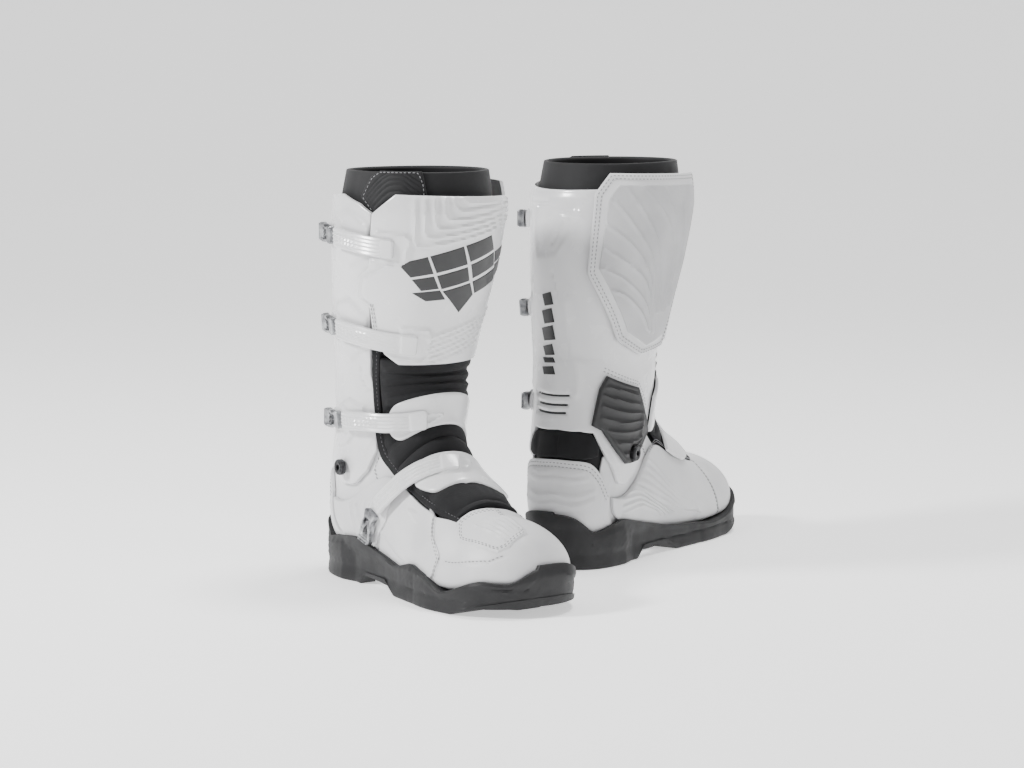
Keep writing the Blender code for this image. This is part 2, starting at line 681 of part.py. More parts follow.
def add_buckle(boot, number, strap):
    """Strap hinged at its socket, lever hinged on the strap, and the base under the lever."""
    rings, side = ribbon(strap["line"], strap["half"], STRAP_OFF, STRAP, STRAP_STEPS)
    swing = f"strap_{number}"
    boot.add_hinge(swing, strap["socket"], rings[0, :2].mean(0), -side[0])
    add_band(boot, swing, rings, swing, GLOSS_WHITE)
    rings, side = ribbon(strap["lever"], LEVER_HALF, LEVER_OFF, LEVER, LEVER_STEPS)
    turn = f"lever_{number}"
    boot.add_hinge(turn, swing, rings[0].mean(0), -side[0])
    add_band(boot, turn, rings, turn, ALUMINIUM)
    start, tip = np.array(strap["lever"][0]), np.array(strap["lever"][1])
    ends = [start + (tip - start) * share for share in BASE_PLACES]
    at = run_through(ends, BASE_STEPS + 1, True)
    reach = np.interp(np.linspace(0, 4, BASE_STEPS + 1), range(5), BASE_HALVES)
    centre = place(at[:, 0], at[:, 1], BASE_OFF)
    normal = outward(at[:, 0], at[:, 1])
    side = np.cross(normal, np.gradient(centre, axis=0))
    side /= np.linalg.norm(side, axis=-1, keepdims=True)
    rings = bar(centre, side, reach[:, None], normal * BASE)
    add_band(boot, f"buckle_base_{number}", rings, strap["base"], GLOSS_WHITE)


# ---------------------------------------------------------------- the pair

def build_boot(side, heel, heading, collection, cutters):
    boot = Boot(side, heel, heading, collection, cutters)
    boot.add_hinge("cuff", "boot", (PIVOT_X, 0, PIVOT_Z), (0, 1, 0))
    hinge_top, hinge_low = (place(s, phi, OVER + PLATE / 2) for s, phi in SHIN_HINGE)
    boot.add_hinge("shin_flap", "cuff", (hinge_top + hinge_low) / 2, hinge_top - hinge_low)
    add_liner(boot)
    add_footbed(boot)
    add_bellows(boot)
    add_toe_box(boot)
    add_foot_panels(boot)
    add_heel_counter(boot)
    add_outsole(boot)
    add_shank(boot)
    add_calf_shell(boot)
    add_calf_guard(boot)
    add_ankle_guard(boot)
    add_ankle_band(boot)
    add_instep_band(boot)
    add_shin_plate(boot)
    for sign in (-1, 1):
        add_pivot(boot, sign)
    for number, strap in enumerate(STRAPS, 1):
        add_buckle(boot, number, strap)


def main():
    clear_scene()
    collection = make_collection("riding_boots")
    cutters = make_collection("cutters")
    build_boot("right", RIGHT_HEEL, RIGHT_HEADING, collection, cutters)
    build_boot("left", LEFT_HEEL, LEFT_HEADING, collection, cutters)


main()
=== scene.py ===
import math

import bmesh
import bpy
import numpy as np
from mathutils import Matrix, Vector
from mathutils.bvhtree import BVHTree


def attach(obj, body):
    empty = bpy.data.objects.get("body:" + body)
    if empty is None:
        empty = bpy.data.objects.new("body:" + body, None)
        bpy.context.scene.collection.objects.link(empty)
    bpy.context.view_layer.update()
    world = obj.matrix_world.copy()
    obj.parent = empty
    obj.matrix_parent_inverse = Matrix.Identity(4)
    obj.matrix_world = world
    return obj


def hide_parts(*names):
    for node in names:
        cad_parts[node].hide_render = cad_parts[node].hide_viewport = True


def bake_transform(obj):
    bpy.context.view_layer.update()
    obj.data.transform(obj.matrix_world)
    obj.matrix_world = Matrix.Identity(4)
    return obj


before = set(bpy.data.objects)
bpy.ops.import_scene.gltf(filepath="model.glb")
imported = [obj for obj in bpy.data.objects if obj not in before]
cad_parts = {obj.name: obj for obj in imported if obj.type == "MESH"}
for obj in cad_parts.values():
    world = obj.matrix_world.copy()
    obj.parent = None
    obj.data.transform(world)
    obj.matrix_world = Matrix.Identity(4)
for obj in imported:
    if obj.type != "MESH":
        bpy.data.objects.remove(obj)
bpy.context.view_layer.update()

MM = 0.001
RIGHT_HEEL = (-180.6, 8.7)
LEFT_HEEL = (10.4, -20.3)
RIGHT_HEADING = -54.8
LEFT_HEADING = 59.6

FAN_X = 200.0
FAN_Z = 200.0
COLLAR_Z = 388.0
TOE_TIP_X = 304.0
TOE_TIP_Z = 31.0
TOE_TIP_SWING = 7.0
TOE_STEPS = 5

SKIN = 0.3
SHELL = 3.5
OVER = 5.6
GUARD_OFF = 6.0
PLATE = 3.2
TEXTILE = 2.6
LINER_OUT = -8.1
LINER = 4.0
BASE_OFF = 5.0
BASE = 2.4
STRAP_OFF = 10.2
STRAP = 2.8
LEVER_OFF = 9.2
LEVER = 5.0
PIVOT_X = 67.0
PIVOT_Z = 108.0
PIVOT_FACE_Y = 48.2


# ---------------------------------------------------------------- the form

def form_table():
    """Rows: centre x, z, direction of the section, front and back distance, half width,
    centre y, roundness of the front and of the back half, place of the widest point."""
    shaft = [(COLLAR_Z, 191, 45, 67), (350, 195, 36, 71), (300, 184, 30, 67),
             (250, 167, 27, 60), (200, 152, 26, 53)]
    rows = [(FAN_X, z, 180, FAN_X - front, FAN_X - back, half, 0, 2.0, 2.1, 0.5)
            for z, front, back, half in shaft]
    fan = [(190, 47, 180, 51, 2.2, 0.50), (202, 48, 197, 49, 2.4, 0.50),
           (212, 53, 223, 47.5, 2.6, 0.52), (222, 60, 248, 45, 2.9, 0.56),
           (233, 69, 225, 45, 3.2, 0.62), (248, 80, 195, 46, 3.4, 0.72),
           (270, 97, 181, 52, 3.4, 0.82)]
    rows += [(FAN_X, FAN_Z, a, front, back, half, 0, 2.0, nb, wide)
             for a, front, back, half, nb, wide in fan]
    foot = [(223, 90, 19, 54, 0), (246, 79, 20, 52, 1)]
    rows += [(x, FAN_Z, 270, FAN_Z - top, FAN_Z - under, half, yc, 1.9, 3.4, 0.84)
             for x, top, under, half, yc in foot]
    x0, top0, under0, half0, yc0 = foot[-1]
    for k in range(1, TOE_STEPS + 1):
        turn = k / TOE_STEPS * math.pi / 2
        close = max(math.cos(turn) ** 0.85, 0.02)
        half = half0 * max(math.cos(turn) ** 0.8, 0.02)
        sweep = math.sin(turn)
        rows.append((x0 + (TOE_TIP_X - x0) * sweep, FAN_Z, 270,
                     FAN_Z - TOE_TIP_Z - (top0 - TOE_TIP_Z) * close,
                     FAN_Z - TOE_TIP_Z - (under0 - TOE_TIP_Z) * close,
                     half, yc0 + TOE_TIP_SWING * sweep, 1.9 + 0.1 * sweep,
                     3.4 - 1.2 * sweep, 0.84 - 0.3 * sweep ** 2))
    return np.array(rows, float)


FORM = form_table()


def follow(table, at):
    """Smooth run through the rows of a table, read at fractional row numbers, no overshoot."""
    table = np.asarray(table, float)
    last = len(table) - 1
    at = np.clip(np.asarray(at, float), 0, last - 1e-9)
    i = np.floor(at).astype(int)
    t = (at - i)[..., None]
    before, here = table[np.clip(i - 1, 0, last)], table[i]
    there, after = table[np.clip(i + 1, 0, last)], table[np.clip(i + 2, 0, last)]
    step = there - here
    slopes = []
    for slope in ((there - before) / 2, (after - here) / 2):
        limit = np.sign(step) * np.minimum(abs(slope), 3 * abs(step))
        slopes.append(np.where(slope * step <= 0, 0, limit))
    return ((2 * t**3 - 3 * t**2 + 1) * here + (t**3 - 2 * t**2 + t) * slopes[0]
            + (3 * t**2 - 2 * t**3) * there + (t**3 - t**2) * slopes[1])


def form(s, phi):
    """Point of the form at station s and angle phi."""
    row = follow(FORM, s)
    x0, z0, direction, front, back, half, yc, round_f, round_b, wide = np.moveaxis(row, -1, 0)
    angle, ph = np.radians(direction), np.radians(phi)
    c, sn = np.cos(ph), np.sin(ph)
    power = np.where(c > 0, round_f, round_b)
    reach = (abs(c) ** power + abs(sn) ** power) ** (-1 / power)
    middle = front + (back - front) * wide
    run = middle - np.where(c > 0, middle - front, back - middle) * c * reach
    return np.stack([x0 + np.cos(angle) * run, yc + half * sn * reach,
                     z0 + np.sin(angle) * run], -1)


def outward(s, phi, step=0.01):
    """Unit normal of the form, pointing out."""
    along = form(s + step, phi) - form(s - step, phi)
    around = form(s, phi + 1) - form(s, phi - 1)
    normal = np.cross(along, around)
    return normal / np.linalg.norm(normal, axis=-1, keepdims=True)


def place(s, phi, out=0.0):
    """Point at a distance out from the form."""
    s, phi = np.broadcast_arrays(np.asarray(s, float), np.asarray(phi, float))
    return form(s, phi) + outward(s, phi) * np.asarray(out, float)[..., None]


STATIONS = np.arange(len(FORM))
STEPS = np.linalg.norm(np.diff(form(STATIONS, np.full(len(FORM), -90.0)), axis=0), axis=1)
RUN_MM = np.concatenate([[0], np.cumsum(STEPS)])
AROUND_MM = 1.05


def chart(s, phi):
    """(s, phi) as flat millimetres: across and down."""
    return np.stack([np.asarray(phi, float) * AROUND_MM, np.interp(s, STATIONS, RUN_MM)], -1)


def from_chart(flat):
    return np.stack([np.interp(flat[..., 1], RUN_MM, STATIONS), flat[..., 0] / AROUND_MM], -1)


# ---------------------------------------------------------------- placing

class Side:
    """One boot of the pair: where it stands and whether it is mirrored."""

    def __init__(self, name, heel, heading):
        self.name = name
        self.sign = 1 if name == "right" else -1
        turn = math.radians(heading)
        self.turn = np.array([[math.cos(turn), -math.sin(turn), 0],
                              [math.sin(turn), math.cos(turn), 0], [0, 0, 1]])
        self.heel = np.array([heel[0], heel[1], 0])

    def world(self, points):
        points = np.asarray(points, float) * (1, self.sign, 1)
        return (points @ self.turn.T + self.heel) * MM


SIDES = [Side("right", RIGHT_HEEL, RIGHT_HEADING), Side("left", LEFT_HEEL, LEFT_HEADING)]


def make_mesh(name, points, faces, smooth=30):
    mesh = bpy.data.meshes.new(name)
    mesh.from_pydata(np.asarray(points).tolist(), [], faces)
    mesh.update()
    mesh.shade_smooth()
    mesh.set_sharp_from_angle(angle=math.radians(smooth))
    obj = bpy.data.objects.new(name, mesh)
    bpy.context.scene.collection.objects.link(obj)
    return obj


def emit(name, points, faces, body, look, nodes=(), smooth=30, between=None):
    points = np.asarray(points, float).reshape(-1, 3)
    material, slot = look
    for side in SIDES:
        turned = faces if side.sign > 0 else [tuple(reversed(face)) for face in faces]
        obj = make_mesh(f"{side.name}_{name}", side.world(points), turned, smooth)
        outward_faces(obj)
        obj.data.materials.append(material)
        if between:
            start, end = side.world(between)
            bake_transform(obj)
        else:
            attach(obj, f"{side.name}_{body}")
        if nodes:
            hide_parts(*[f"{side.name}_{node}" for node in nodes])


def outward_faces(obj):
    mesh = bmesh.new()
    mesh.from_mesh(obj.data)
    bmesh.ops.recalc_face_normals(mesh, faces=mesh.faces)
    mesh.to_mesh(obj.data)
    mesh.free()


# ---------------------------------------------------------------- panels

def read_line(points, at, crisp):
    """Points of a list of control points at fractional places along it."""
    if crisp:
        table = np.asarray(points, float)
        return np.stack([np.interp(at, range(len(points)), column) for column in table.T], -1)
    return follow(points, at)


def grid_faces(rows, columns, closed=False):
    faces = []
    for i in range(rows - 1):
        for j in range(columns if closed else columns - 1):
            k = (j + 1) % columns
            faces.append((i * columns + j, i * columns + k,
                          (i + 1) * columns + k, (i + 1) * columns + j))
    return faces


RIM = np.array([0, 0.35, 0.9, 1.7, 2.8])


def with_rim(length, step):
    """Places along a run of a length, as shares of it: close together at both ends."""
    rim = RIM * min(1, length * 0.2 / RIM[-1]) / length
    count = max(2, int(round(length / step)))
    middle = np.linspace(rim[-1], 1 - rim[-1], count)[1:-1]
    return np.concatenate([rim, middle, 1 - rim[::-1]])


def panel_grid(ribs, step, crisp=False, start=None, end=None):
    """Fine (s, phi) grid between the two rails that a list of ribs spans."""
    ribs = np.asarray(ribs, float)
    last = len(ribs) - 1
    coarse = np.linspace(0, last, 12 * last + 1)
    middle = (read_line(ribs[:, :2], coarse, crisp) + read_line(ribs[:, 2:], coarse, crisp)) / 2
    points = place(middle[:, 0], middle[:, 1])
    run = np.concatenate([[0], np.cumsum(np.linalg.norm(np.diff(points, axis=0), axis=1))])
    u = np.interp(with_rim(run[-1], step) * run[-1], run, coarse)
    if crisp:
        inner = np.arange(1, last)
        keep = [k for k, at in enumerate(u) if not len(inner) or abs(inner - at).min() > 0.04]
        u = np.sort(np.concatenate([u[keep], inner]))
    first, second = read_line(ribs[:, :2], u, crisp), read_line(ribs[:, 2:], u, crisp)
    widths = []
    for a, b in zip(first, second):
        mix = np.linspace(0, 1, 9)[:, None]
        row = a * (1 - mix) + b * mix
        row = place(row[:, 0], row[:, 1])
        widths.append(np.linalg.norm(np.diff(row, axis=0), axis=1).sum())
    count = len(with_rim(max(widths), step))
    v = np.array([stretch_to(with_rim(max(w, 4.0), step), count) for w in widths])[..., None]
    grid = first[:, None] * (1 - v) + second[:, None] * v
    share = (u / last)[:, None, None]
    for bent, weight, row in ((start, 1 - share, 0), (end, share, -1)):
        if bent:
            straight = first[row] * (1 - v) + second[row] * v
            bend = read_line(bent, v[..., 0] * (len(bent) - 1), crisp)
            grid = grid + weight * (bend - straight)
    return grid


def stretch_to(shares, count):
    """The same spread of places, with a given count and the rim kept."""
    edge = len(RIM)
    low, high = shares[edge - 1], shares[-edge]
    return np.concatenate([shares[:edge], np.linspace(low, high, count - 2 * edge + 2)[1:-1],
                           shares[-edge:]])


def ring_of(rows, columns):
    """Vertex numbers round the edge of a grid."""
    top = list(range(columns))
    right = [i * columns + columns - 1 for i in range(1, rows)]
    low = [(rows - 1) * columns + j for j in range(columns - 2, -1, -1)]
    left = [i * columns for i in range(rows - 2, 0, -1)]
    return top + right + low + left


def edge_distance(points, ring):
    """Millimetres from each point to the nearest edge point."""
    flat = points.reshape(-1, 3)
    edge = flat[ring]
    between = (edge + np.roll(edge, -1, axis=0)) / 2
    edge = np.vstack([edge, between])
    found = np.empty(len(flat))
    for k in range(0, len(flat), 2000):
        gap = flat[k:k + 2000, None] - edge[None]
        found[k:k + 2000] = np.sqrt((gap ** 2).sum(-1).min(1))
    return found.reshape(points.shape[:2])


def panel(name, ribs, body, look, out=SKIN, thick=SHELL, step=2.4, crisp=False, start=None,
          end=None, relief=None, corner=1.5, nodes=None, between=None, puff=None):
    """A closed shell over a patch of the form, with rounded edges and a relief on its face."""
    grid = panel_grid(ribs, step, crisp, start, end)
    s, phi = grid[..., 0], grid[..., 1]
    rows, columns = s.shape
    base, normal = form(s, phi), outward(s, phi)
    ring = ring_of(rows, columns)
    gap = edge_distance(base, ring)
    fall = np.clip(1 - gap / corner, 0, 1)
    height = out + thick - corner * (1 - np.sqrt(1 - fall ** 2))
    if relief:
        height = height + relief(s, phi, gap) * np.clip(gap / 1.5, 0, 1)
    top = base + normal * height[..., None]
    if puff:
        top = puff(top, s, phi, gap)
    bottom = base + normal * out
    faces = closed_faces(rows, columns, ring)
    points = np.concatenate([top.reshape(-1, 3), bottom.reshape(-1, 3)])
    emit(name, points, faces, body, look, nodes if nodes is not None else (name,),
         between=between)


def closed_faces(rows, columns, ring):
    """Faces of two grids, one over the other, joined round the edge."""
    count = rows * columns
    top = grid_faces(rows, columns)
    faces = top + [tuple(k + count for k in reversed(face)) for face in top]
    for a, b in zip(ring, ring[1:] + ring[:1]):
        faces.append((b, a, a + count, b + count))
    return faces


# ---------------------------------------------------------------- relief and lines

def smooth_line(points, count=8):
    at = np.linspace(0, len(points) - 1, count * (len(points) - 1) + 1)
    return follow(points, at)


def to_line(s, phi, line):
    """Distance on the chart from each place to a line of (s, phi)."""
    here = chart(s, phi)
    line = chart(*np.asarray(line, float).T)
    best = np.full(np.shape(s), 1e9)
    for a, b in zip(line[:-1], line[1:]):
        run = b - a
        t = np.clip(((here - a) @ run) / max(run @ run, 1e-9), 0, 1)
        best = np.minimum(best, np.linalg.norm(here - a - t[..., None] * run, axis=-1))
    return best


def draw(s, phi, lines, width, height, curved=False):
    """Rounded ridges along lines, or grooves where the height is negative."""
    total = np.zeros(np.shape(s))
    for line in lines:
        line = smooth_line(line) if curved else line
        mark = np.exp(-(to_line(s, phi, line) / width) ** 2) * height
        total = np.where(abs(mark) > abs(total), mark, total)
    return total


def inside(s, phi, outline):
    """Distance into a closed outline on the chart, negative outside."""
    here = chart(s, phi)
    corners = chart(*np.asarray(outline, float).T)
    crossings = np.zeros(np.shape(s), bool)
    for a, b in zip(corners, np.roll(corners, -1, axis=0)):
        level = (a[1] > here[..., 1]) != (b[1] > here[..., 1])
        rise = b[1] - a[1] if abs(b[1] - a[1]) > 1e-9 else 1e-9
        crossings ^= level & (here[..., 0] < a[0] + (here[..., 1] - a[1]) * (b[0] - a[0]) / rise)
    gap = to_line(s, phi, list(outline) + [outline[0]])
    return np.where(crossings, gap, -gap)


def raised(s, phi, outline, height, slope=1.5):
    """Plateau over a closed outline, with sloped sides."""
    return height * np.clip(inside(s, phi, outline) / slope + 0.5, 0, 1)


def offset_line(line, distance, closed=False):
    """A line moved sideways on the chart, to its left as it runs down the screen."""
    flat = chart(*np.asarray(line, float).T)
    count = len(flat)
    moved = []
    for k in range(count):
        before = flat[k - 1] if k or closed else flat[0] * 2 - flat[1]
        after = flat[(k + 1) % count] if k < count - 1 or closed else flat[k] * 2 - flat[k - 1]
        one, two = flat[k] - before, after - flat[k]
        one, two = one / np.linalg.norm(one), two / np.linalg.norm(two)
        across = np.array([one[1] + two[1], -one[0] - two[0]]) / (1 + max(one @ two, -0.6))
        moved.append(flat[k] + across * distance)
    return from_chart(np.array(moved))


SEAMS = {}
STITCH = 2.6
STITCH_GAP = 1.3
THREAD = 0.42
SEAM = SKIN + SHELL + 0.05


def stitch(key, line, out, crisp=True, closed=False):
    """A run of sewn stitches along a line of (s, phi), kept for its body's sewing."""
    line = np.asarray(line, float)
    if closed:
        line = np.vstack([line, line[:1]])
    at = np.linspace(0, len(line) - 1, 40 * (len(line) - 1) + 1)
    fine = read_line(line, at, crisp)
    points = place(fine[:, 0], fine[:, 1], out)
    run = np.concatenate([[0], np.cumsum(np.linalg.norm(np.diff(points, axis=0), axis=1))])
    count = int(run[-1] / (STITCH + STITCH_GAP))
    for k in range(count):
        ends = np.array([k, k + STITCH / (STITCH + STITCH_GAP)]) * run[-1] / count
        a, b = (np.stack([np.interp(ends, run, fine[:, i]) for i in (0, 1)], -1))
        SEAMS.setdefault(key, []).append((place(*a, out), place(*b, out), outward(*a)))


def sew(key, body, look, between=None):
    """All the stitches of one body as one mesh of small rounded threads."""
    points, faces = [], []
    for a, b, normal in SEAMS.get(key, []):
        run = b - a
        side = np.cross(normal, run)
        side = side / np.linalg.norm(side) * THREAD
        up = normal / np.linalg.norm(normal) * THREAD
        first = len(points)
        points += [a - up * 0.6, b - up * 0.6]
        for share in (0.2, 0.8):
            middle = a + run * share
            points += [middle + side, middle + up, middle - side, middle - up * 0.5]
        for k in range(4):
            m = (k + 1) % 4
            faces.append((first, first + 2 + k, first + 2 + m))
            faces.append((first + 2 + k, first + 6 + k, first + 6 + m, first + 2 + m))
            faces.append((first + 1, first + 6 + m, first + 6 + k))
    if points:
        emit(f"{key}_stitching", points, faces, body, look, smooth=80, between=between)


# ---------------------------------------------------------------- materials

def new_material(name, colour, roughness, **values):
    material = bpy.data.materials.new(name)
    material.use_nodes = True
    shader = material.node_tree.nodes["Principled BSDF"]
    shader.inputs["Base Color"].default_value = (*colour, 1)
    shader.inputs["Roughness"].default_value = roughness
    for key, value in values.items():
        shader.inputs[key.replace("_", " ")].default_value = value
    return material, material.node_tree, shader


def add_node(tree, kind, values=None, **settings):
    node = tree.nodes.new(kind)
    for key, value in settings.items():
        setattr(node, key, value)
    for key, value in (values or {}).items():
        node.inputs[key].default_value = value
    return node


def noise(tree, scale, detail=4.0, stretch=None):
    """Noise on the object's own coordinates, in features per metre."""
    coordinates = add_node(tree, "ShaderNodeTexCoord").outputs["Object"]
    if stretch:
        mapping = add_node(tree, "ShaderNodeMapping", {"Scale": stretch})
        tree.links.new(coordinates, mapping.inputs["Vector"])
        coordinates = mapping.outputs["Vector"]
    found = add_node(tree, "ShaderNodeTexNoise", {"Scale": scale, "Detail": detail})
    tree.links.new(coordinates, found.inputs["Vector"])
    return found.outputs["Fac"]


def cells(tree, scale):
    coordinates = add_node(tree, "ShaderNodeTexCoord").outputs["Object"]
    found = add_node(tree, "ShaderNodeTexVoronoi", {"Scale": scale})
    tree.links.new(coordinates, found.inputs["Vector"])
    return found.outputs["Distance"]


def weave(tree, scale, angle):
    """Threads as bands across one direction."""
    coordinates = add_node(tree, "ShaderNodeTexCoord").outputs["Object"]
    mapping = add_node(tree, "ShaderNodeMapping", {"Rotation": (0, angle, 0.4)})
    tree.links.new(coordinates, mapping.inputs["Vector"])
    found = add_node(tree, "ShaderNodeTexWave", {"Scale": scale, "Distortion": 0.6,
                                                 "Detail": 1.0, "Detail Scale": 2.0})
    tree.links.new(mapping.outputs["Vector"], found.inputs["Vector"])
    return found.outputs["Fac"]


def shade(tree, factor, low, high, at=(0.35, 0.65)):
    """Colour that runs from low to high with a factor."""
    ramp = add_node(tree, "ShaderNodeValToRGB")
    for element, place_at, colour in zip(ramp.color_ramp.elements, at, (low, high)):
        element.position = place_at
        element.color = (*colour, 1)
    tree.links.new(factor, ramp.inputs["Fac"])
    return ramp.outputs["Color"]


def spread(tree, factor, low, high):
    """Number that runs from low to high with a factor."""
    found = add_node(tree, "ShaderNodeMapRange", {"To Min": low, "To Max": high})
    tree.links.new(factor, found.inputs["Value"])
    return found.outputs["Result"]


def bump(tree, shader, layers):
    """Stacked bumps: pairs of a height and its depth in millimetres."""
    last = None
    for height, depth in layers:
        found = add_node(tree, "ShaderNodeBump", {"Strength": 1.0, "Distance": depth * MM})
        tree.links.new(height, found.inputs["Height"])
        if last:
            tree.links.new(last, found.inputs["Normal"])
        last = found.outputs["Normal"]
    tree.links.new(last, shader.inputs["Normal"])


def surface(name, slot, colour, roughness, tint, gloss=None, bumps=(), at=(0.35, 0.65), **values):
    """A material that wanders over noise, and its slot.

    tint is (scale, detail, low colour, high colour), gloss is (low, high, *noise settings) and a
    bump is (pattern, its settings, depth in millimetres)."""
    material, tree, shader = new_material(name, colour, roughness, **values)
    scale, detail, dark, pale = tint
    tree.links.new(shade(tree, noise(tree, scale, detail), dark, pale, at),
                   shader.inputs["Base Color"])
    if gloss:
        low, high, *settings = gloss
        tree.links.new(spread(tree, noise(tree, *settings), low, high),
                       shader.inputs["Roughness"])
    if bumps:
        bump(tree, shader, [(pattern(tree, *settings), depth)
                            for pattern, settings, depth in bumps])
    return material, slot


def grey(level, blue=None):
    return level, level, level if blue is None else blue


def thread(name, colour, slot):
    """Bonded thread, with its twist."""
    low = tuple(c * 0.75 for c in colour)
    return surface(name, slot, colour, 0.6, (300.0, 2.0, low, colour),
                   bumps=[(weave, (900.0, 0.7), 0.08)], Sheen_Weight=0.3)


def pale_floor():
    tint = (3.0, 2.0, grey(0.925), grey(0.935))
    return surface("pale_floor", None, grey(0.95), 0.9, tint,
                   Emission_Color=(1, 1, 1, 1), Emission_Strength=0.75)[0]


# Glossy moulded shell: faint flow marks, fine scuffs in the gloss.
GLOSS = surface("moulded_white", "gloss_white", grey(0.84, 0.85), 0.24,
                (14.0, 5.0, grey(0.70, 0.71), grey(0.78, 0.785)), (0.14, 0.36, 60.0, 8.0),
                [(noise, (12.0, 1.0), 0.3), (noise, (900.0, 3.0), 0.015)],
                Coat_Weight=0.35, Coat_Roughness=0.12)
# Coated microfibre: pebbled grain and a soft satin.
LEATHER = surface("grained_white", "leather_white", grey(0.80), 0.45,
                  (22.0, 6.0, grey(0.64, 0.65), grey(0.73, 0.735)), (0.36, 0.55, 120.0, 5.0),
                  [(cells, (900.0,), 0.05), (noise, (90.0, 4.0), 0.12)])
# Pressed suede of the calf guard's field, a shade darker than the shells.
FIELD = surface("pressed_grey", "leather_white", grey(0.68, 0.69), 0.62,
                (30.0, 6.0, grey(0.48, 0.49), grey(0.56, 0.57)), (0.5, 0.7, 200.0, 5.0),
                [(cells, (1300.0,), 0.06), (noise, (300.0, 4.0), 0.08)])
# Woven stretch textile of the bellows.
TEXTILE_LOOK = surface("black_textile", "textile_black", grey(0.006, 0.007), 0.8,
                       (35.0, 6.0, grey(0.004, 0.005), grey(0.009, 0.010)), None,
                       [(weave, (620.0, 0.0), 0.04), (weave, (620.0, 1.57), 0.04),
                        (noise, (45.0, 4.0), 0.4)], Sheen_Weight=0.06, Specular_IOR_Level=0.3)
# Smooth knit-faced foam of the inner boot's collar.
NEOPRENE = surface("neoprene", "lining", grey(0.007, 0.008), 0.7,
                   (20.0, 7.0, grey(0.005, 0.006), grey(0.011, 0.012)), None,
                   [(cells, (1500.0,), 0.05), (noise, (30.0, 3.0), 0.4)],
                   Sheen_Weight=0.08, Specular_IOR_Level=0.35)
# Moulded rubber: fine stipple, dull where it is scuffed.
RUBBER = surface("sole_rubber", "rubber", grey(0.009, 0.010), 0.5,
                 (26.0, 7.0, grey(0.007, 0.008), grey(0.014, 0.015)), (0.42, 0.68, 70.0, 6.0),
                 [(noise, (700.0, 5.0), 0.10), (noise, (60.0, 3.0), 0.2)],
                 Specular_IOR_Level=0.4)
# Dark grey moulded guard, a little lighter than the sole.
GUARD = surface("guard_rubber", "rubber", grey(0.018, 0.019), 0.5,
                (30.0, 6.0, grey(0.014, 0.015), grey(0.023, 0.024)), (0.38, 0.6, 90.0, 5.0),
                [(noise, (800.0, 4.0), 0.06)])
# Cast lever, brushed along its length, with darker hollows.
METAL = surface("brushed_aluminium", "aluminium", (0.62, 0.63, 0.64), 0.28,
                (120.0, 6.0, grey(0.16, 0.17), (0.50, 0.51, 0.52)),
                (0.18, 0.42, 500.0, 6.0, (1, 1, 12)),
                [(noise, (600.0, 5.0, (1, 1, 14)), 0.05)], Metallic=1.0)
# Blackened rivets and screws with a worn rim.
STEEL = surface("black_steel", "steel_black", grey(0.05, 0.052), 0.38,
                (250.0, 6.0, grey(0.03, 0.032), grey(0.11, 0.115)), (0.28, 0.5, 300.0, 5.0),
                [(noise, (900.0, 4.0), 0.03)], at=(0.45, 0.75), Metallic=0.8)
# Printed film on the shin plate.
PRINT = surface("printed_black", "gloss_white", grey(0.007, 0.008), 0.35,
                (80.0, 6.0, grey(0.005, 0.006), grey(0.011, 0.012)), (0.25, 0.5, 200.0, 6.0),
                [(noise, (700.0, 3.0), 0.02)], Coat_Weight=0.15)
PALE_THREAD = thread("pale_thread", grey(0.22, 0.23), "leather_white")
DARK_THREAD = thread("dark_thread", grey(0.04, 0.045), "textile_black")
GREY_THREAD = thread("grey_thread", grey(0.30, 0.31), "textile_black")


# ---------------------------------------------------------------- soft goods

FOOT_END = (118, 0, 88)
CUFF_END = (108, 0, 150)
REAR_FOOT_END = (30, 0, 92)
REAR_CUFF_END = (30, 0, 142)
FRONT_BEND = (FOOT_END, CUFF_END)
REAR_BEND = (REAR_FOOT_END, REAR_CUFF_END)
SWELL_FRAMES = 20
CLOTH = {"quality": 6, "mass": 0.25, "tension_stiffness": 12, "compression_stiffness": 6,
         "shear_stiffness": 6, "bending_stiffness": 0.4}


def swell(points, faces, hold, pressure, cap):
    """Cloth simulation of a padded face: pressure lifts it between its held seams.

    Points are in millimetres, hold is how firmly each one stays, cap is the furthest it moves."""
    obj = make_mesh("swelling", np.asarray(points) * MM, faces)
    group = obj.vertex_groups.new(name="hold")
    for index, weight in enumerate(hold):
        group.add([index], float(weight), "REPLACE")
    cloth = obj.modifiers.new("cloth", "CLOTH")
    settings = cloth.settings
    for key, value in CLOTH.items():
        setattr(settings, key, value)
    settings.use_pressure = True
    settings.uniform_pressure_force = pressure
    settings.vertex_group_mass = "hold"
    settings.effector_weights.gravity = 0
    cloth.point_cache.frame_start = 1
    cloth.point_cache.frame_end = SWELL_FRAMES
    for number in range(1, SWELL_FRAMES + 1):
        bpy.context.scene.frame_set(number)
    shown = obj.evaluated_get(bpy.context.evaluated_depsgraph_get())
    found = np.array([v.co for v in shown.data.vertices]) / MM
    bpy.data.objects.remove(obj)
    bpy.context.scene.frame_set(1)
    move = found - points
    far = np.linalg.norm(move, axis=1, keepdims=True)
    return points + move * np.minimum(1, cap / np.maximum(far, 1e-6))


def folds(s, creases):
    """0 on a crease, 1 half way between two."""
    creases = np.asarray(creases)
    k = np.clip(np.searchsorted(creases, s) - 1, 0, len(creases) - 2)
    share = np.clip((s - creases[k]) / (creases[k + 1] - creases[k]), 0, 1)
    return np.sqrt(np.clip(np.sin(np.pi * share), 0, 1))


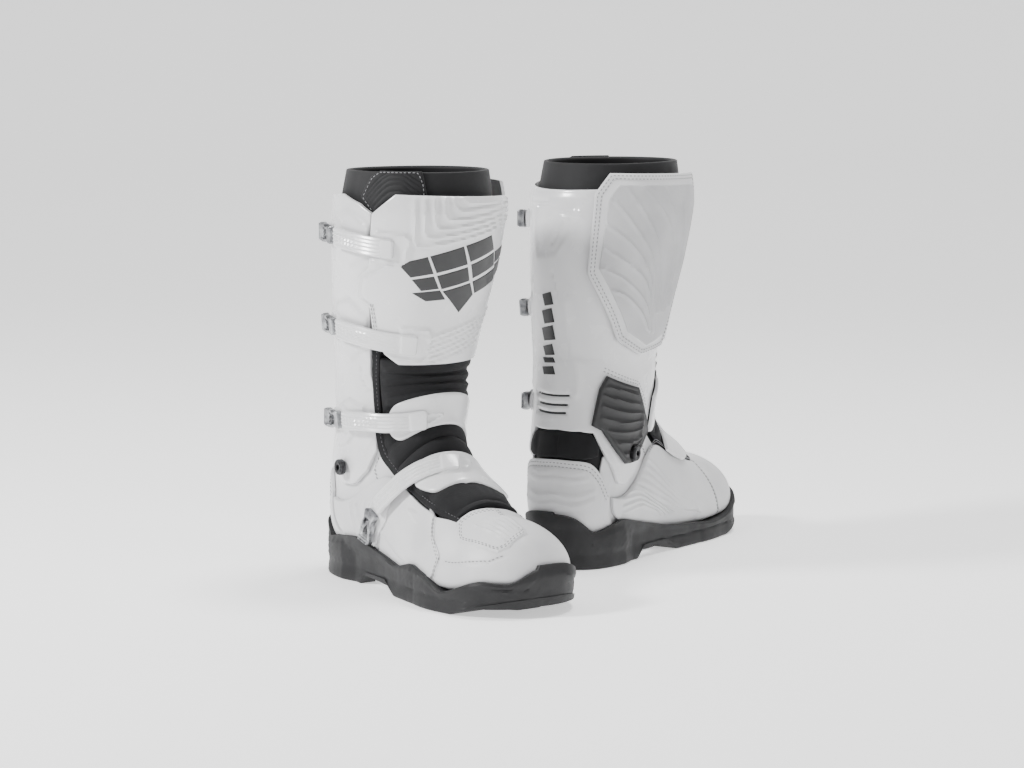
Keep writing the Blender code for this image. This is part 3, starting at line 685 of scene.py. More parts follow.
def bellows(name, ribs, creases, lift, between, across=False):
    """Padded textile panel with soft folds between sewn creases."""

    def height(s, phi, gap):
        at = phi if across else s
        taper = np.clip(gap / 9, 0, 1) ** 0.6
        return lift * folds(at, creases) * taper

    def puff(top, s, phi, gap):
        at = phi if across else s
        held = 1 - np.clip(folds(at, creases) * 1.6 - 0.25, 0, 1)
        held = np.maximum(held, np.clip(1 - (gap - 4) / 4, 0, 1))
        points = top.reshape(-1, 3)
        moved = swell(points, grid_faces(*s.shape), held.ravel(), 3.0, 2.5)
        return moved.reshape(top.shape)

    panel(name, ribs, "foot", TEXTILE_LOOK, thick=TEXTILE, step=2.2, relief=height, puff=puff,
          between=between)


FRONT_RIBS = [(3.6, -58, 3.6, 52), (5.5, -59, 5.5, 51), (7.6, -57, 7.6, 56),
              (9.4, -53, 9.4, 50), (10.7, -46, 10.7, 44), (12.2, -37, 12.3, 35)]
FRONT_CREASES = [3.3, 3.91, 4.85, 5.45, 6.2, 8.15, 9.15, 9.9, 10.6, 12.0, 12.6]


def add_bellows():
    bellows("front_bellows", FRONT_RIBS, FRONT_CREASES, 4.4, FRONT_BEND)
    rear = [(6.42, -136, 6.6, -137), (6.02, -146, 6.56, -148), (5.88, -165, 6.48, -165),
            (5.86, -180, 6.46, -180), (5.88, -195, 6.48, -195), (6.02, -214, 6.56, -212),
            (6.42, -224, 6.6, -223)]
    bellows("rear_bellows", rear, [-226, -207, -180, -153, -134], 1.6, REAR_BEND, across=True)
    edge = [(3.4, -64), (5.5, -66), (6.8, -64.5), (8.15, -60), (9.7, -54), (10.3, -50),
            (12.3, -38)]
    ribs = [(s, phi, s, phi + 7.5 - 0.12 * s) for s, phi in edge]
    panel("bellows_piping", ribs, "foot", TEXTILE_LOOK, out=SKIN + TEXTILE - 0.4, thick=1.9,
          step=2.0, nodes=(), between=FRONT_BEND)
    stitch("piping", [(s, phi + 4.4) for s, phi in edge], SKIN + TEXTILE + 1.6, crisp=False)
    sew("piping", "foot", DARK_THREAD, between=FRONT_BEND)


LINER_TOP = 0.03
LINER_TOE = 16.4
LINER_TIP = (TOE_TIP_X - 14, TOE_TIP_SWING, TOE_TIP_Z + 2)
LINER_COLUMNS = 120


def add_liner():
    """Inner boot: a padded sleeve with a rolled top edge, quilted inside."""
    top, toe = LINER_TOP, LINER_TOE
    outer_s = np.concatenate([np.linspace(top + 0.05, 1.6, 30), np.linspace(1.8, 9.0, 40),
                              np.linspace(9.3, toe, 20)])
    inner_s = outer_s[::-1]
    roll = np.linspace(0, 180, 9)[1:-1]
    out_at = LINER_OUT + LINER
    middle, half = out_at - LINER / 2, LINER / 2
    phi = np.arange(LINER_COLUMNS) * 360 / LINER_COLUMNS
    rows = [place(np.full(LINER_COLUMNS, s), phi, LINER_OUT - quilt(s)) for s in inner_s]
    first_roll = len(rows)
    for turn in roll:
        angle = math.radians(turn)
        rows.append(place(np.full(LINER_COLUMNS, top + 0.05 * (1 - math.sin(angle))), phi,
                          middle - half * math.cos(angle)))
    rows += [place(np.full(LINER_COLUMNS, s), phi, out_at) for s in outer_s]
    points = np.array(rows).reshape(-1, 3)
    faces = grid_faces(len(rows), LINER_COLUMNS, closed=True)
    level = np.concatenate([inner_s, np.full(len(roll), top), outer_s])
    deep = np.arange(len(rows)) < first_roll
    hold = np.where(deep, 1.0, np.clip((level - 0.9) / 0.5, 0, 1))
    hold = np.maximum(hold, 0.12)
    points = swell(points, faces, np.repeat(hold, LINER_COLUMNS), 2.0, 2.0)
    tip = len(points)
    inside_tip = np.array(LINER_TIP) - (LINER, 0, 0)
    points = np.vstack([points, [inside_tip], [LINER_TIP]])
    last = (len(rows) - 1) * LINER_COLUMNS
    for j in range(LINER_COLUMNS):
        k = (j + 1) % LINER_COLUMNS
        faces.append((k, j, tip))
        faces.append((last + j, last + k, tip + 1))
    emit("liner", points, faces, "foot", NEOPRENE, ("liner",), smooth=60,
         between=FRONT_BEND)


def quilt(s):
    """Depth of the sewn channels inside the shaft."""
    return 0.8 * abs(math.sin(s * math.pi * 3)) ** 0.5 if s < 7 else 0.0


FLAP_RIBS = [(0.22, -75, 0.70, -83), (0.0, -67, 1.0, -70), (0.0, -50, 0.9, -52),
             (0.0, -33, 0.85, -28)]
FLAP_OFF = LINER_OUT + LINER + 0.5
FLAP_THICK = 2.2
FLAP_SEAM = FLAP_OFF + FLAP_THICK + 0.1


def add_flap():
    """Closing flap of the inner boot: quilted arches, sewn all round."""
    arches = [[(0.95 - k, -76), (0.62 - k, -66), (0.42 - k, -57), (0.40 - k, -48),
               (0.62 - k, -38), (0.78 - k, -30)] for k in (-0.3, -0.15, 0.0, 0.13, 0.26, 0.38)]

    def relief(s, phi, gap):
        return draw(s, phi, arches, 0.9, -0.9, curved=True)

    panel("collar_flap", FLAP_RIBS, "foot", NEOPRENE, out=FLAP_OFF, thick=FLAP_THICK, step=1.3,
          crisp=True, relief=relief, nodes=(), between=FRONT_BEND)
    line = [(0.66, -79.5), (0.26, -73), (0.06, -66), (0.06, -36), (0.42, -32), (0.85, -31)]
    stitch("flap", line, FLAP_SEAM)
    stitch("flap", [(0.70, -80), (0.97, -70)], FLAP_SEAM)
    sew("flap", "foot", PALE_THREAD, between=FRONT_BEND)


def add_footbed():
    ribs = [(8.1, 203, 8.1, 157), (8.6, 210, 8.6, 150), (9.6, 214, 9.6, 146),
            (11.0, 216, 11.0, 144), (12.5, 218, 12.5, 142), (14.4, 214, 14.4, 146),
            (15.4, 205, 15.4, 155)]
    panel("footbed", ribs, "foot", NEOPRENE, out=-12.8, thick=2.6, step=4.0, corner=1.0,
          relief=lambda s, phi, gap: -0.4 * abs(np.sin(s * 9)))


# ---------------------------------------------------------------- foot

TOE_REAR = [(12.52, -148), (12.12, -103), (12.44, -73.5), (11.74, -59.5), (11.36, -46.5),
            (12.2, -37), (12.25, -20), (12.5, 5), (12.45, 36), (12.75, 62), (13.1, 100),
            (13.1, 148)]
TOE_PATCH = [(12.28, -37), (12.35, -20), (12.6, 4), (15.35, -6), (15.6, -40), (15.3, -52),
             (12.85, -50)]

TOE_STEP = 1.5


def add_toe_box():
    """Toe cap with a raised patch; a strip under its rear seam closes the joint."""
    ribs = [(s, phi, 17.9, phi) for s, phi in TOE_REAR]
    under = [(s - 0.6, phi, s + 0.4, phi) for s, phi in TOE_REAR[:5]]
    panel("toe_seam", under, "foot", LEATHER, thick=2.2, crisp=True, step=2.4, nodes=())
    ridges = [[(13.0 + 0.1 * k, -30 + 5.2 * k), (15.2 - 0.05 * k, -34 + 5.6 * k)]
              for k in range(6)]

    def relief(s, phi, gap):
        return (raised(s, phi, TOE_PATCH, TOE_STEP, 0.8) + draw(s, phi, ridges, 1.1, 1.3)
                + draw(s, phi, [[(12.64, -76), (15.16, -69), (15.8, -52)]], 1.0, -0.8))

    panel("toe_box", ribs, "foot", LEATHER, crisp=True, step=1.5, relief=relief)
    for inset in (-2.0, -3.8):
        stitch("toe", offset_line(TOE_PATCH, inset, closed=True), SKIN + SHELL + TOE_STEP + 0.05,
               closed=True)
    stitch("toe", [(12.66, -74), (15.16, -67), (15.70, -54)], SEAM)
    seam = TOE_REAR[1:5]
    for inset in (2.2, 4.2):
        stitch("toe", offset_line(seam, inset), SEAM)
    for inset in (-2.2, -4.2):
        stitch("toe", offset_line([(12.45, 36), (12.75, 62), (13.1, 100), (13.1, 130)], -inset),
               SEAM)
    sew("toe", "foot", GREY_THREAD)


def add_foot_panels():
    lateral = [(7.62, -119, 8.95, -127), (8.0, -105, 9.15, -150), (8.35, -86, 9.6, -150),
               (8.65, -70, 10.2, -150), (9.2, -58, 11.0, -150), (10.4, -51, 11.8, -150),
               (11.2, -46.5, 12.4, -148)]
    edge = [(11.2, -46.5), (11.6, -60), (12.3, -73), (12.0, -103), (12.4, -148)]
    lines = [[(8.3, -98), (8.9, -112), (9.3, -128)], [(8.5, -92), (9.2, -108), (9.6, -124)],
             [(8.8, -86), (9.5, -104), (9.9, -120)], [(9.1, -80), (10.6, -100), (11.6, -112)],
             [(10.6, -112), (11.2, -104), (11.8, -98)]]
    mark = [(10.28, -61), (10.55, -56), (10.62, -63)]

    def lateral_relief(s, phi, gap):
        return draw(s, phi, lines, 1.4, 1.3, curved=True) + raised(s, phi, mark, 1.4)

    panel("lateral_foot_panel", lateral, "foot", LEATHER, step=2.2, end=edge,
          relief=lateral_relief)
    medial = [(7.78, 120, 8.95, 127), (8.25, 105, 9.15, 150), (8.5, 86, 9.6, 150),
              (8.65, 71, 10.2, 150), (9.3, 56, 11.1, 150), (10.8, 47, 12.1, 150),
              (12.3, 37, 12.97, 148)]
    edge = [(12.3, 37), (12.62, 62), (12.97, 100), (12.97, 148)]
    fan = [[(8.45, 75 + 5 * k), (9.3, 72 + 4.4 * k), (10.1, 76 + 3.2 * k), (11.3, 92 + 1.6 * k)]
           for k in range(5)]
    arches = [[(8.05 + 0.15 * k, 106 + 4 * k), (8.6 + 0.12 * k, 97 + 4 * k),
               (9.2, 93 + 4 * k), (9.75, 95 + 4 * k), (10.3 - 0.12 * k, 102 + 4 * k)]
              for k in range(4)]

    def medial_relief(s, phi, gap):
        return draw(s, phi, fan + arches, 1.5, 1.5, curved=True)

    panel("medial_foot_panel", medial, "foot", LEATHER, step=1.6, end=edge, relief=medial_relief)
    for inset in (2.0, 3.8):
        line = [(8.65, 71), (9.3, 56), (10.8, 47), (12.2, 38)]
        stitch("panels", offset_line(line, -inset), SEAM, crisp=False)
    sew("panels", "foot", GREY_THREAD)


def add_heel_counter():
    ribs = [(7.45, -121.5, 8.75, -130), (7.0, -130, 8.8, -146), (6.62, -148, 8.72, -163),
            (6.5, -180, 8.68, -180), (6.62, -212, 8.72, -197), (7.05, -227, 8.8, -214),
            (7.65, -237.5, 8.65, -229)]
    waves = [[(6.84 + 0.16 * k, -222), (6.80 + 0.16 * k, -200), (6.74 + 0.16 * k, -180),
              (6.80 + 0.16 * k, -160), (6.84 + 0.16 * k, -138)] for k in (0, 1, 3, 4)]

    def relief(s, phi, gap):
        field = np.clip((gap - 8) / 2, 0, 1)
        return field * draw(s, phi, waves, 1.6, 1.1, True) - 0.7 * np.exp(-((gap - 7) / 1.0) ** 2)

    panel("heel_counter", ribs, "foot", LEATHER, step=2.2, relief=relief)
    top = [(7.45, -121.5), (7.0, -130), (6.62, -148), (6.5, -180), (6.62, -212), (7.05, -227),
           (7.65, -237.5)]
    for inset in (2.2, 4.4):
        stitch("heel", offset_line(top, inset), SEAM, crisp=False)
    sew("heel", "foot", GREY_THREAD)


# ---------------------------------------------------------------- sole

SOLE_WALL_IN = 5.7
SOLE_WALL = 4.0
SOLE_LIP = 2.4
SOLE_FLARE = 1.0
SOLE_FLOOR_Z = 14.0
SOLE_WALL_LOW = 27.0
LIP_LOW = 18.0
RAY_START = 220.0
HEEL_BACK = 1.0
HEEL_END_X = 60.0
HEEL_WIDE_Z = 42.0
HEEL_FADE = 0.25
ARCH = (88.0, 99.0, 140.0, 158.0)
ARCH_Z = 10.0
SPRING_X = 254.0
SPRING_Z = 15.0
SPINE = (46.0, 256.0)
SIDE_STEPS = 105
END_STEPS = 70
WALL_STEPS = 12
FLOOR_STEPS = 5
UNDER_STEPS = 14
TREE_ROWS = 120
TREE_COLUMNS = 180
WAVE_BLUR = (-4.0, -2.0, 0.0, 2.0, 4.0)


def sole_top(x, lateral):
    """Height of the wavy top edge of the sole along each side."""
    if lateral:
        wave = [(5, 56), (18, 50), (27, 36), (50, 41), (86, 45), (125, 37), (164, 29), (190, 36),
                (205, 33), (217, 30), (230, 24), (240, 18), (252, 21), (270, 29), (282, 33),
                (294, 31), (302, 31), (306, 42), (311, 47)]
    else:
        wave = [(5, 56), (12, 46), (20, 34), (55, 45), (100, 35), (142, 26), (220, 19), (246, 20),
                (264, 24), (282, 33), (298, 41), (305, 46), (311, 47)]
    xs, zs = zip(*wave)
    return float(np.mean([np.interp(x + shift, xs, zs) for shift in WAVE_BLUR]))


def sole_under(x):
    return float(np.interp(x, [*ARCH, SPRING_X, TOE_TIP_X + 8],
                           [0, ARCH_Z, ARCH_Z, 0, 0, SPRING_Z]))


def form_tree():
    s = np.linspace(6.5, 17.9, TREE_ROWS)
    phi = np.arange(TREE_COLUMNS) * 360 / TREE_COLUMNS
    points = place(s[:, None], phi[None, :], SOLE_WALL_IN).reshape(-1, 3)
    tip = len(points)
    points = np.vstack([points, [TOE_TIP_X + SOLE_WALL_IN, TOE_TIP_SWING, TOE_TIP_Z]])
    faces = grid_faces(TREE_ROWS, TREE_COLUMNS, closed=True)
    last = tip - TREE_COLUMNS
    faces += [(last + j, last + (j + 1) % TREE_COLUMNS, tip) for j in range(TREE_COLUMNS)]
    return BVHTree.FromPolygons([tuple(p) for p in points], faces)


def sole_rays():
    heel, toe = SPINE
    along = np.linspace(heel, toe, SIDE_STEPS + 1)
    rays = [(x, 90.0) for x in along]
    rays += [(toe, 90 - 180 / END_STEPS * k) for k in range(1, END_STEPS)]
    rays += [(x, -90.0) for x in along[::-1]]
    rays += [(heel, -90 - 180 / END_STEPS * k) for k in range(1, END_STEPS)]
    return rays


def sole_marks(x, z, along, top):
    """Relief of the outer wall: hatching at heel and ball, ribs round the toe, a foot line."""
    hatch = 1.1 * (0.5 + 0.5 * np.sin((along * 0.9 + z * 1.2) * 2 * np.pi / 7.5))
    heel = np.clip((78 - x) / 6, 0, 1) * np.clip((x - 12) / 6, 0, 1)
    ball = np.clip(1 - abs(x - 192) / 26, 0, 1) ** 0.5
    field = np.clip((z - 16) / 3, 0, 1) * np.clip((top - 3 - z) / 2, 0, 1)
    ribs = 1.0 * np.clip((x - 282) / 6, 0, 1) * (0.5 + 0.5 * np.sin(z * 2 * np.pi / 5.5))
    line = -0.8 * np.exp(-((z - 13.5) / 0.9) ** 2)
    rim = 0.7 * np.exp(-((z - top + 1.5) / 1.3) ** 2)
    return hatch * field * np.clip(heel + ball, 0, 1) + ribs * field + line + rim


def add_sole():
    """Rubber tray with a wavy wall, heel block, tread and arch."""
    tree = form_tree()
    rings, along, before = [], 0.0, None
    for x, heading in sole_rays():
        ray = Vector((math.cos(math.radians(heading)), math.sin(math.radians(heading)), 0))
        spine = Vector((x, 0, 0))

        def wall(z, lowest=SOLE_WALL_LOW):
            hit = tree.ray_cast(spine + Vector((0, 0, max(z, lowest))) + ray * RAY_START, -ray)[0]
            return math.hypot(hit.x - x, hit.y)

        low = wall(SOLE_WALL_LOW)
        low = max(low, wall(HEEL_WIDE_Z) - HEEL_BACK - max(x - HEEL_END_X, 0) * HEEL_FADE)
        rim = spine + ray * low
        along += (rim - before).length if before else 0
        before = rim
        top = sole_top(rim.x, rim.y < 0)
        profile = [(low * k / FLOOR_STEPS, SOLE_FLOOR_Z, False) for k in range(FLOOR_STEPS + 1)]
        profile += [(wall(top * k / 3 + SOLE_FLOOR_Z * (1 - k / 3)), top * k / 3
                     + SOLE_FLOOR_Z * (1 - k / 3), False) for k in (1, 2)]
        profile += [(wall(top, LIP_LOW) - 2.2, top - 0.4, False),
                    (wall(top) + SOLE_LIP * 0.5, top + 0.4, False)]
        for k in range(WALL_STEPS + 1):
            z = top - 0.3 - (top - 3.3) * k / WALL_STEPS
            thick = np.interp(z, [3, SOLE_FLOOR_Z, (top + 27) / 2, top],
                              [SOLE_WALL + SOLE_FLARE, SOLE_WALL, SOLE_WALL, SOLE_LIP])
            mark = sole_marks(rim.x, z, along, top)
            reach = max(wall(z), low) if z < HEEL_WIDE_Z else wall(z)
            profile.append((reach + thick + float(mark) - 0.4, z, z < 8))
        foot = low + SOLE_WALL + SOLE_FLARE
        profile += [(foot - 0.9, 1.0, True), (foot - 2.4, 0.0, True)]
        profile += [((foot - 2.4) * k / UNDER_STEPS, 0.0, True)
                    for k in range(UNDER_STEPS - 1, -1, -1)]
        ring = []
        for distance, z, under in profile:
            point = spine + ray * distance
            if under:
                share = 1 if z < 3 else (8 - z) / 5
                z = z + sole_under(point.x) * share
                if z < sole_under(point.x) + 0.5 and distance < foot - 6:
                    z += tread(point.x, point.y)
            ring.append((point.x, point.y, z))
        rings.append(ring)
    columns = len(rings[0])
    points = np.array(rings).reshape(-1, 3)
    faces = [(a, d, c, b) for a, b, c, d in grid_faces(len(rings) + 1, columns)]
    faces = [tuple(k % len(points) for k in face) for face in faces]
    points, faces = welded(points, faces)
    emit("outsole", points, faces, "foot", RUBBER, ("outsole",), smooth=35)


def tread(x, y):
    """Grooves across the heel and the ball, and a channel along the arch."""
    if ARCH[0] - 4 < x < ARCH[3] + 4:
        return 0.0
    groove = abs((x + 0.35 * abs(y)) % 15.0 - 7.5)
    return 2.2 * float(np.clip((2.4 - groove) / 0.8, 0, 1))


def welded(points, faces):
    """Joined points and cleaned faces, as lists."""
    mesh = bmesh.new()
    verts = [mesh.verts.new(p) for p in points]
    for face in faces:
        if len(set(face)) > 2:
            mesh.faces.new([verts[k] for k in dict.fromkeys(face)])
    bmesh.ops.remove_doubles(mesh, verts=mesh.verts, dist=0.05)
    bmesh.ops.dissolve_degenerate(mesh, edges=mesh.edges, dist=0.01)
    mesh.verts.index_update()
    found = np.array([v.co for v in mesh.verts]), [tuple(v.index for v in f.verts)
                                                   for f in mesh.faces]
    mesh.free()
    return found


# ---------------------------------------------------------------- cuff

CALF_RIBS = [(1.0, -68.5, 7.7, -63), (0.82, -80, 8.05, -74), (0.66, -100, 8.0, -86),
             (0.70, -120, 7.6, -103), (0.74, -140, 7.15, -115), (0.76, -160, 5.92, -147),
             (0.76, -178, 5.85, -178), (0.74, -200, 5.9, -203), (0.7, -217, 6.0, -216),
             (0.7, -234, 7.0, -236), (0.7, -248, 7.65, -247), (0.7, -260, 7.98, -258),
             (0.75, -277, 8.1, -273), (0.95, -299, 7.6, -290)]
CALF_FRONT = [(0.95, -299), (3.3, -304), (4.2, -309), (5.7, -308), (6.6, -300), (7.6, -290)]
SLOTS = [[(5.13, -147), (5.09, -189)], [(5.35, -149), (5.31, -188)], [(5.53, -150), (5.49, -187)]]
REAR_FIELD = [(1.10, -147), (1.05, -188), (1.45, -186), (2.0, -170), (2.05, -150), (1.6, -147)]
REAR_TAPER = [[(2.38, -140), (2.95, -135)], [(2.36, -168), (2.86, -175)]]
REAR_SLITS = [[(1.42, -177), (1.82, -166)], [(1.42, -138), (1.82, -140)]]
SPINE_RIDGE = [[(2.9, -182), (3.46, -186), (4.4, -196), (5.0, -198)],
               [(2.9, -134), (3.46, -131), (4.4, -128), (5.0, -127)]]
HEX_MARK = [(3.66, -67), (3.73, -75), (4.30, -77), (4.99, -70), (4.9, -66)]


def calf_relief(s, phi, gap):
    ribs = [[(0.95 + 0.13 * k, -140), (0.93 + 0.13 * k, -192)] for k in range(4)]
    height = draw(s, phi, ribs, 1.3, 1.2)
    height += -1.8 * np.clip(inside(s, phi, REAR_FIELD) / 2 + 0.5, 0, 1)
    height += draw(s, phi, SLOTS, 1.25, -2.6) + draw(s, phi, REAR_SLITS, 1.1, -1.8)
    height += draw(s, phi, REAR_TAPER, 1.1, -1.6) + draw(s, phi, SPINE_RIDGE, 4.0, 1.6, True)
    height += draw(s, phi, [HEX_MARK], 0.9, -1.3)
    for centre, reach in (((1.5, -84), 0.55), ((3.15, -84), 0.55), ((5.95, -90), 0.75)):
        row, column = centre
        wings = [(row - reach * 0.75, column - 22), (row - reach, column - 4),
                 (row - reach * 0.45, column + 15), (row + reach * 0.45, column + 15),
                 (row + reach, column - 4), (row + reach * 0.75, column - 22)]
        height += raised(s, phi, wings, 2.2, 2.5)
    height += draw(s, phi, [[(7.2, -68), (6.4, -78), (5.6, -96)]], 3.0, 1.2, True)
    return height


def add_calf_shell():
    panel("calf_shell", CALF_RIBS, "cuff", GLOSS, crisp=True, step=2.3, end=CALF_FRONT,
          relief=calf_relief)
    for number, line in enumerate(SLOTS, 1):
        (s0, a), (s1, b) = line
        ribs = [(s0 - 0.03, a + 1, s0 + 0.03, a + 1), (s1 - 0.03, b - 1, s1 + 0.03, b - 1)]
        panel(f"rear_slot_{number}", ribs, "cuff", PRINT, out=SKIN + 0.7, thick=1.0, step=2.0,
              corner=0.4, nodes=())


REAR_BLOCKS = [(2.72, 5.0), (3.03, 6.0), (3.32, 7.0), (3.64, 6.0), (3.96, 7.0), (4.32, 7.5)]


def add_rear_marks():
    """Plain slanted blocks down the back of the cuff."""
    for number, (row, half) in enumerate(REAR_BLOCKS, 1):
        ribs = [(row, -162 - half, row + 0.24, -165 - half),
                (row + 0.06, -162 + half, row + 0.28, -165 + half)]
        panel(f"rear_block_{number}", ribs, "cuff", PRINT, out=SKIN + SHELL - 0.3, thick=1.2,
              step=1.6, corner=0.4, nodes=())


GUARD_RIBS = [(0.4, 150, 0.45, 66), (0.85, 159.5, 1.0, 58), (2.35, 160, 2.2, 62),
              (3.55, 132, 3.3, 68), (3.86, 108, 3.72, 76)]
GUARD_LINE = [(0.4, 150), (0.85, 159.5), (2.35, 160), (3.55, 132), (3.86, 108), (3.72, 76),
              (3.3, 68), (2.2, 62), (1.0, 58), (0.45, 66)]
GUARD_FIELD = [(0.66, 143), (0.92, 150), (2.25, 152), (3.40, 125), (3.66, 104), (3.5, 82),
               (3.2, 76), (2.2, 70), (1.05, 67), (0.70, 73)]
GUARD_RAYS = [[(0.9, 149), (1.48, 131), (2.07, 115), (2.92, 106), (3.42, 99)],
              [(1.39, 152), (1.75, 134), (2.20, 119), (2.65, 110), (3.2, 103)],
              [(1.80, 153), (2.16, 132), (2.47, 118), (2.92, 109), (3.3, 104)],
              [(2.20, 153), (2.43, 135), (2.79, 118), (3.15, 108), (3.4, 104)],
              [(2.65, 145), (2.74, 132), (3.06, 117), (3.37, 107)],
              [(0.67, 140), (1.17, 127), (1.75, 113), (2.34, 105), (3.1, 99)],
              [(0.67, 128), (1.12, 114), (1.57, 102), (2.38, 94), (3.1, 94)],
              [(0.67, 113), (1.21, 102), (1.80, 93), (2.5, 88), (3.1, 90)],
              [(0.72, 99), (1.08, 92), (1.57, 86), (2.3, 80), (3.0, 84)]]


def add_calf_guard():
    """Suede guard inside the calf: sewn border and a pressed field with curved rays."""

    def relief(s, phi, gap):
        return raised(s, phi, GUARD_FIELD, 1.0, 2.5) - 0.5 * np.exp(-((gap - 6.2) / 0.8) ** 2)

    def field_relief(s, phi, gap):
        return draw(s, phi, GUARD_RAYS, 1.2, 1.8, curved=True)

    panel("calf_guard", GUARD_RIBS, "cuff", LEATHER, out=GUARD_OFF, thick=PLATE, step=2.0,
          crisp=True, relief=relief)
    left = GUARD_FIELD[:5]
    right = GUARD_FIELD[:4:-1]
    ribs = [(*a, *b) for a, b in zip(left, right)]
    panel("calf_guard_field", ribs, "cuff", FIELD, out=GUARD_OFF + PLATE + 0.3, thick=1.1,
          step=1.7, crisp=True, relief=field_relief, corner=0.9, nodes=())
    for inset in (2.4, 5.0):
        stitch("guard", offset_line(GUARD_LINE, -inset, closed=True), GUARD_OFF + PLATE + 0.05,
               closed=True)
    sew("guard", "cuff", GREY_THREAD)


def add_ankle_guard():
    ribs = [(4.6, 137, 5.2, 104), (4.95, 143, 5.9, 95), (5.8, 147, 6.7, 84),
            (5.98, 138, 7.25, 78), (7.24, 111, 7.6, 94)]
    lines = [[(4.87 + 0.27 * k, 140 - 0.5 * k), (5.2 + 0.30 * k, 118 - 1.2 * k),
              (5.6 + 0.29 * k, 101 - 2.0 * k), (6.6 + 0.1 * k, 92 + 0.6 * k)] for k in range(7)]

    def relief(s, phi, gap):
        marks = draw(s, phi, lines, 1.1, 1.6, curved=True)
        at = form(s, phi)
        far = np.hypot(at[..., 0] - PIVOT_X, at[..., 2] - PIVOT_Z)
        marks = marks * np.clip((gap - 3) / 2, 0, 1) * np.clip((far - 10) / 2, 0, 1)
        return marks + 0.6 * np.exp(-((gap - 2.4) / 1.0) ** 2) - 3.0 * np.clip(9.6 - far, 0, 1)

    panel("ankle_guard", ribs, "cuff", GUARD, out=OVER, thick=PLATE, step=1.8, crisp=True,
          relief=relief)
    border = [(4.35, 139), (5.05, 101), (5.6, 91), (6.5, 80)]
    for inset in (0.0, 2.2):
        stitch("ankle", offset_line(border, inset), SKIN + SHELL + 0.1)
    sew("ankle", "cuff", GREY_THREAD)


def add_pivots():
    """Shouldered rivets with a socket in the head."""
    profile = [(0, 6.3), (2.4, 6.3), (2.6, 9.0), (3.4, 9.4), (5.0, 9.4), (5.3, 9.0), (6.3, 9.0),
               (7.2, 8.5), (7.5, 7.6), (7.4, 4.4), (4.0, 3.8), (0, 3.8)]
    steps = 40
    for name, side, raise_mm in (("pivot_lateral", -1, 0.6), ("pivot_medial", 1, 1.0)):
        rings = []
        for k in range(steps):
            turn = 2 * math.pi * k / steps
            rings.append([(PIVOT_X + r * math.cos(turn), side * (PIVOT_FACE_Y + h + raise_mm),
                           PIVOT_Z + r * math.sin(turn)) for r, h in profile])
        points = np.array(rings).reshape(-1, 3)
        faces = [tuple(k % len(points) for k in face)
                 for face in grid_faces(steps + 1, len(profile))]
        points, faces = welded(points, faces)
        emit(name, points, faces, "foot", STEEL, (name,))


def add_gussets():
    """Sewn white gussets that close the gap between the cuff's arm and the foot panels."""
    for name, sign in (("lateral_gusset", 1), ("medial_gusset", -1)):
        ribs = [(6.9, -62, 9.6, -54), (7.1, -72, 9.9, -64), (7.3, -84, 10.0, -80),
                (7.3, -98, 9.8, -98), (7.0, -112, 9.4, -116), (6.7, -122, 9.1, -130),
                (6.7, -131, 9.0, -146)]
        ribs = [(a, sign * b, c, sign * d) for a, b, c, d in ribs]
        panel(name, ribs, "foot", LEATHER, out=-2.6, thick=2.2, step=2.4, nodes=(),
              between=FRONT_BEND)
        patch = [(7.85, sign * -61), (8.1, sign * -70), (8.75, sign * -72), (9.3, sign * -60)]
        stitch("gusset", [(7.95, sign * -64), (8.2, sign * -70), (8.7, sign * -71),
                          (9.0, sign * -64)], -0.2)
        stitch("gusset", offset_line(patch, 1.5 * sign), -0.2)
    sew("gusset", "foot", GREY_THREAD, between=FRONT_BEND)


# ---------------------------------------------------------------- bands and shin plate

STRAPS = [
    dict(line=[(1.60, -49), (1.56, -66), (1.50, -84), (1.46, -97)],
         lever=[(1.45, -100.5), (1.42, -119)], half=9.0, base="cuff"),
    dict(line=[(3.32, -27), (3.28, -50), (3.2, -75), (3.14, -97)],
         lever=[(3.13, -101), (3.1, -121)], half=9.5, base="cuff"),
    dict(line=[(7.75, -18), (6.95, -47), (6.3, -70), (5.88, -95)],
         lever=[(5.83, -99), (5.6, -122)], half=9.0, base="cuff"),
    dict(line=[(10.45, -3), (10.15, -28), (9.78, -54), (9.46, -76)],
         lever=[(9.43, -80), (9.55, -108)], half=9.0, base="foot"),
]


def socket_frame(strap, reach=9.0, wide=3.5):
    """Outline of the frame that the socket end of a strap sits in, as (s, phi)."""
    line = chart(*np.array(strap["line"][:2]).T)
    run = line[0] - line[1]
    run = run / np.linalg.norm(run)
    side = np.array([-run[1], run[0]])
    half = strap["half"] + wide
    end = line[0] + run * reach
    back = line[0] - run * 15
    corners = [back + side * half, end - run * 4 + side * half, end + side * (half - 4),
               end - side * (half - 4), end - run * 4 - side * half, back - side * half]
    return from_chart(np.array(corners))


def framed(s, phi, strap):
    return (raised(s, phi, socket_frame(strap, 11.0, 5.0), 1.2, 2.0)
            + draw(s, phi, [socket_frame(strap)], 1.2, 1.3))


def add_ankle_band():
    ribs = [(6.5, -51, 7.3, -50), (6.05, -47, 7.8, -46), (5.9, -36, 8.3, -38),
            (5.85, -15, 8.4, -15), (5.85, 15, 8.45, 12), (6.0, 45, 8.45, 36), (6.1, 60, 8.2, 56),
            (6.2, 71, 7.6, 70)]
    panel("ankle_band", ribs, "cuff", GLOSS, out=OVER, thick=PLATE, step=2.2, corner=2.0,
          relief=lambda s, phi, gap: framed(s, phi, STRAPS[2]))


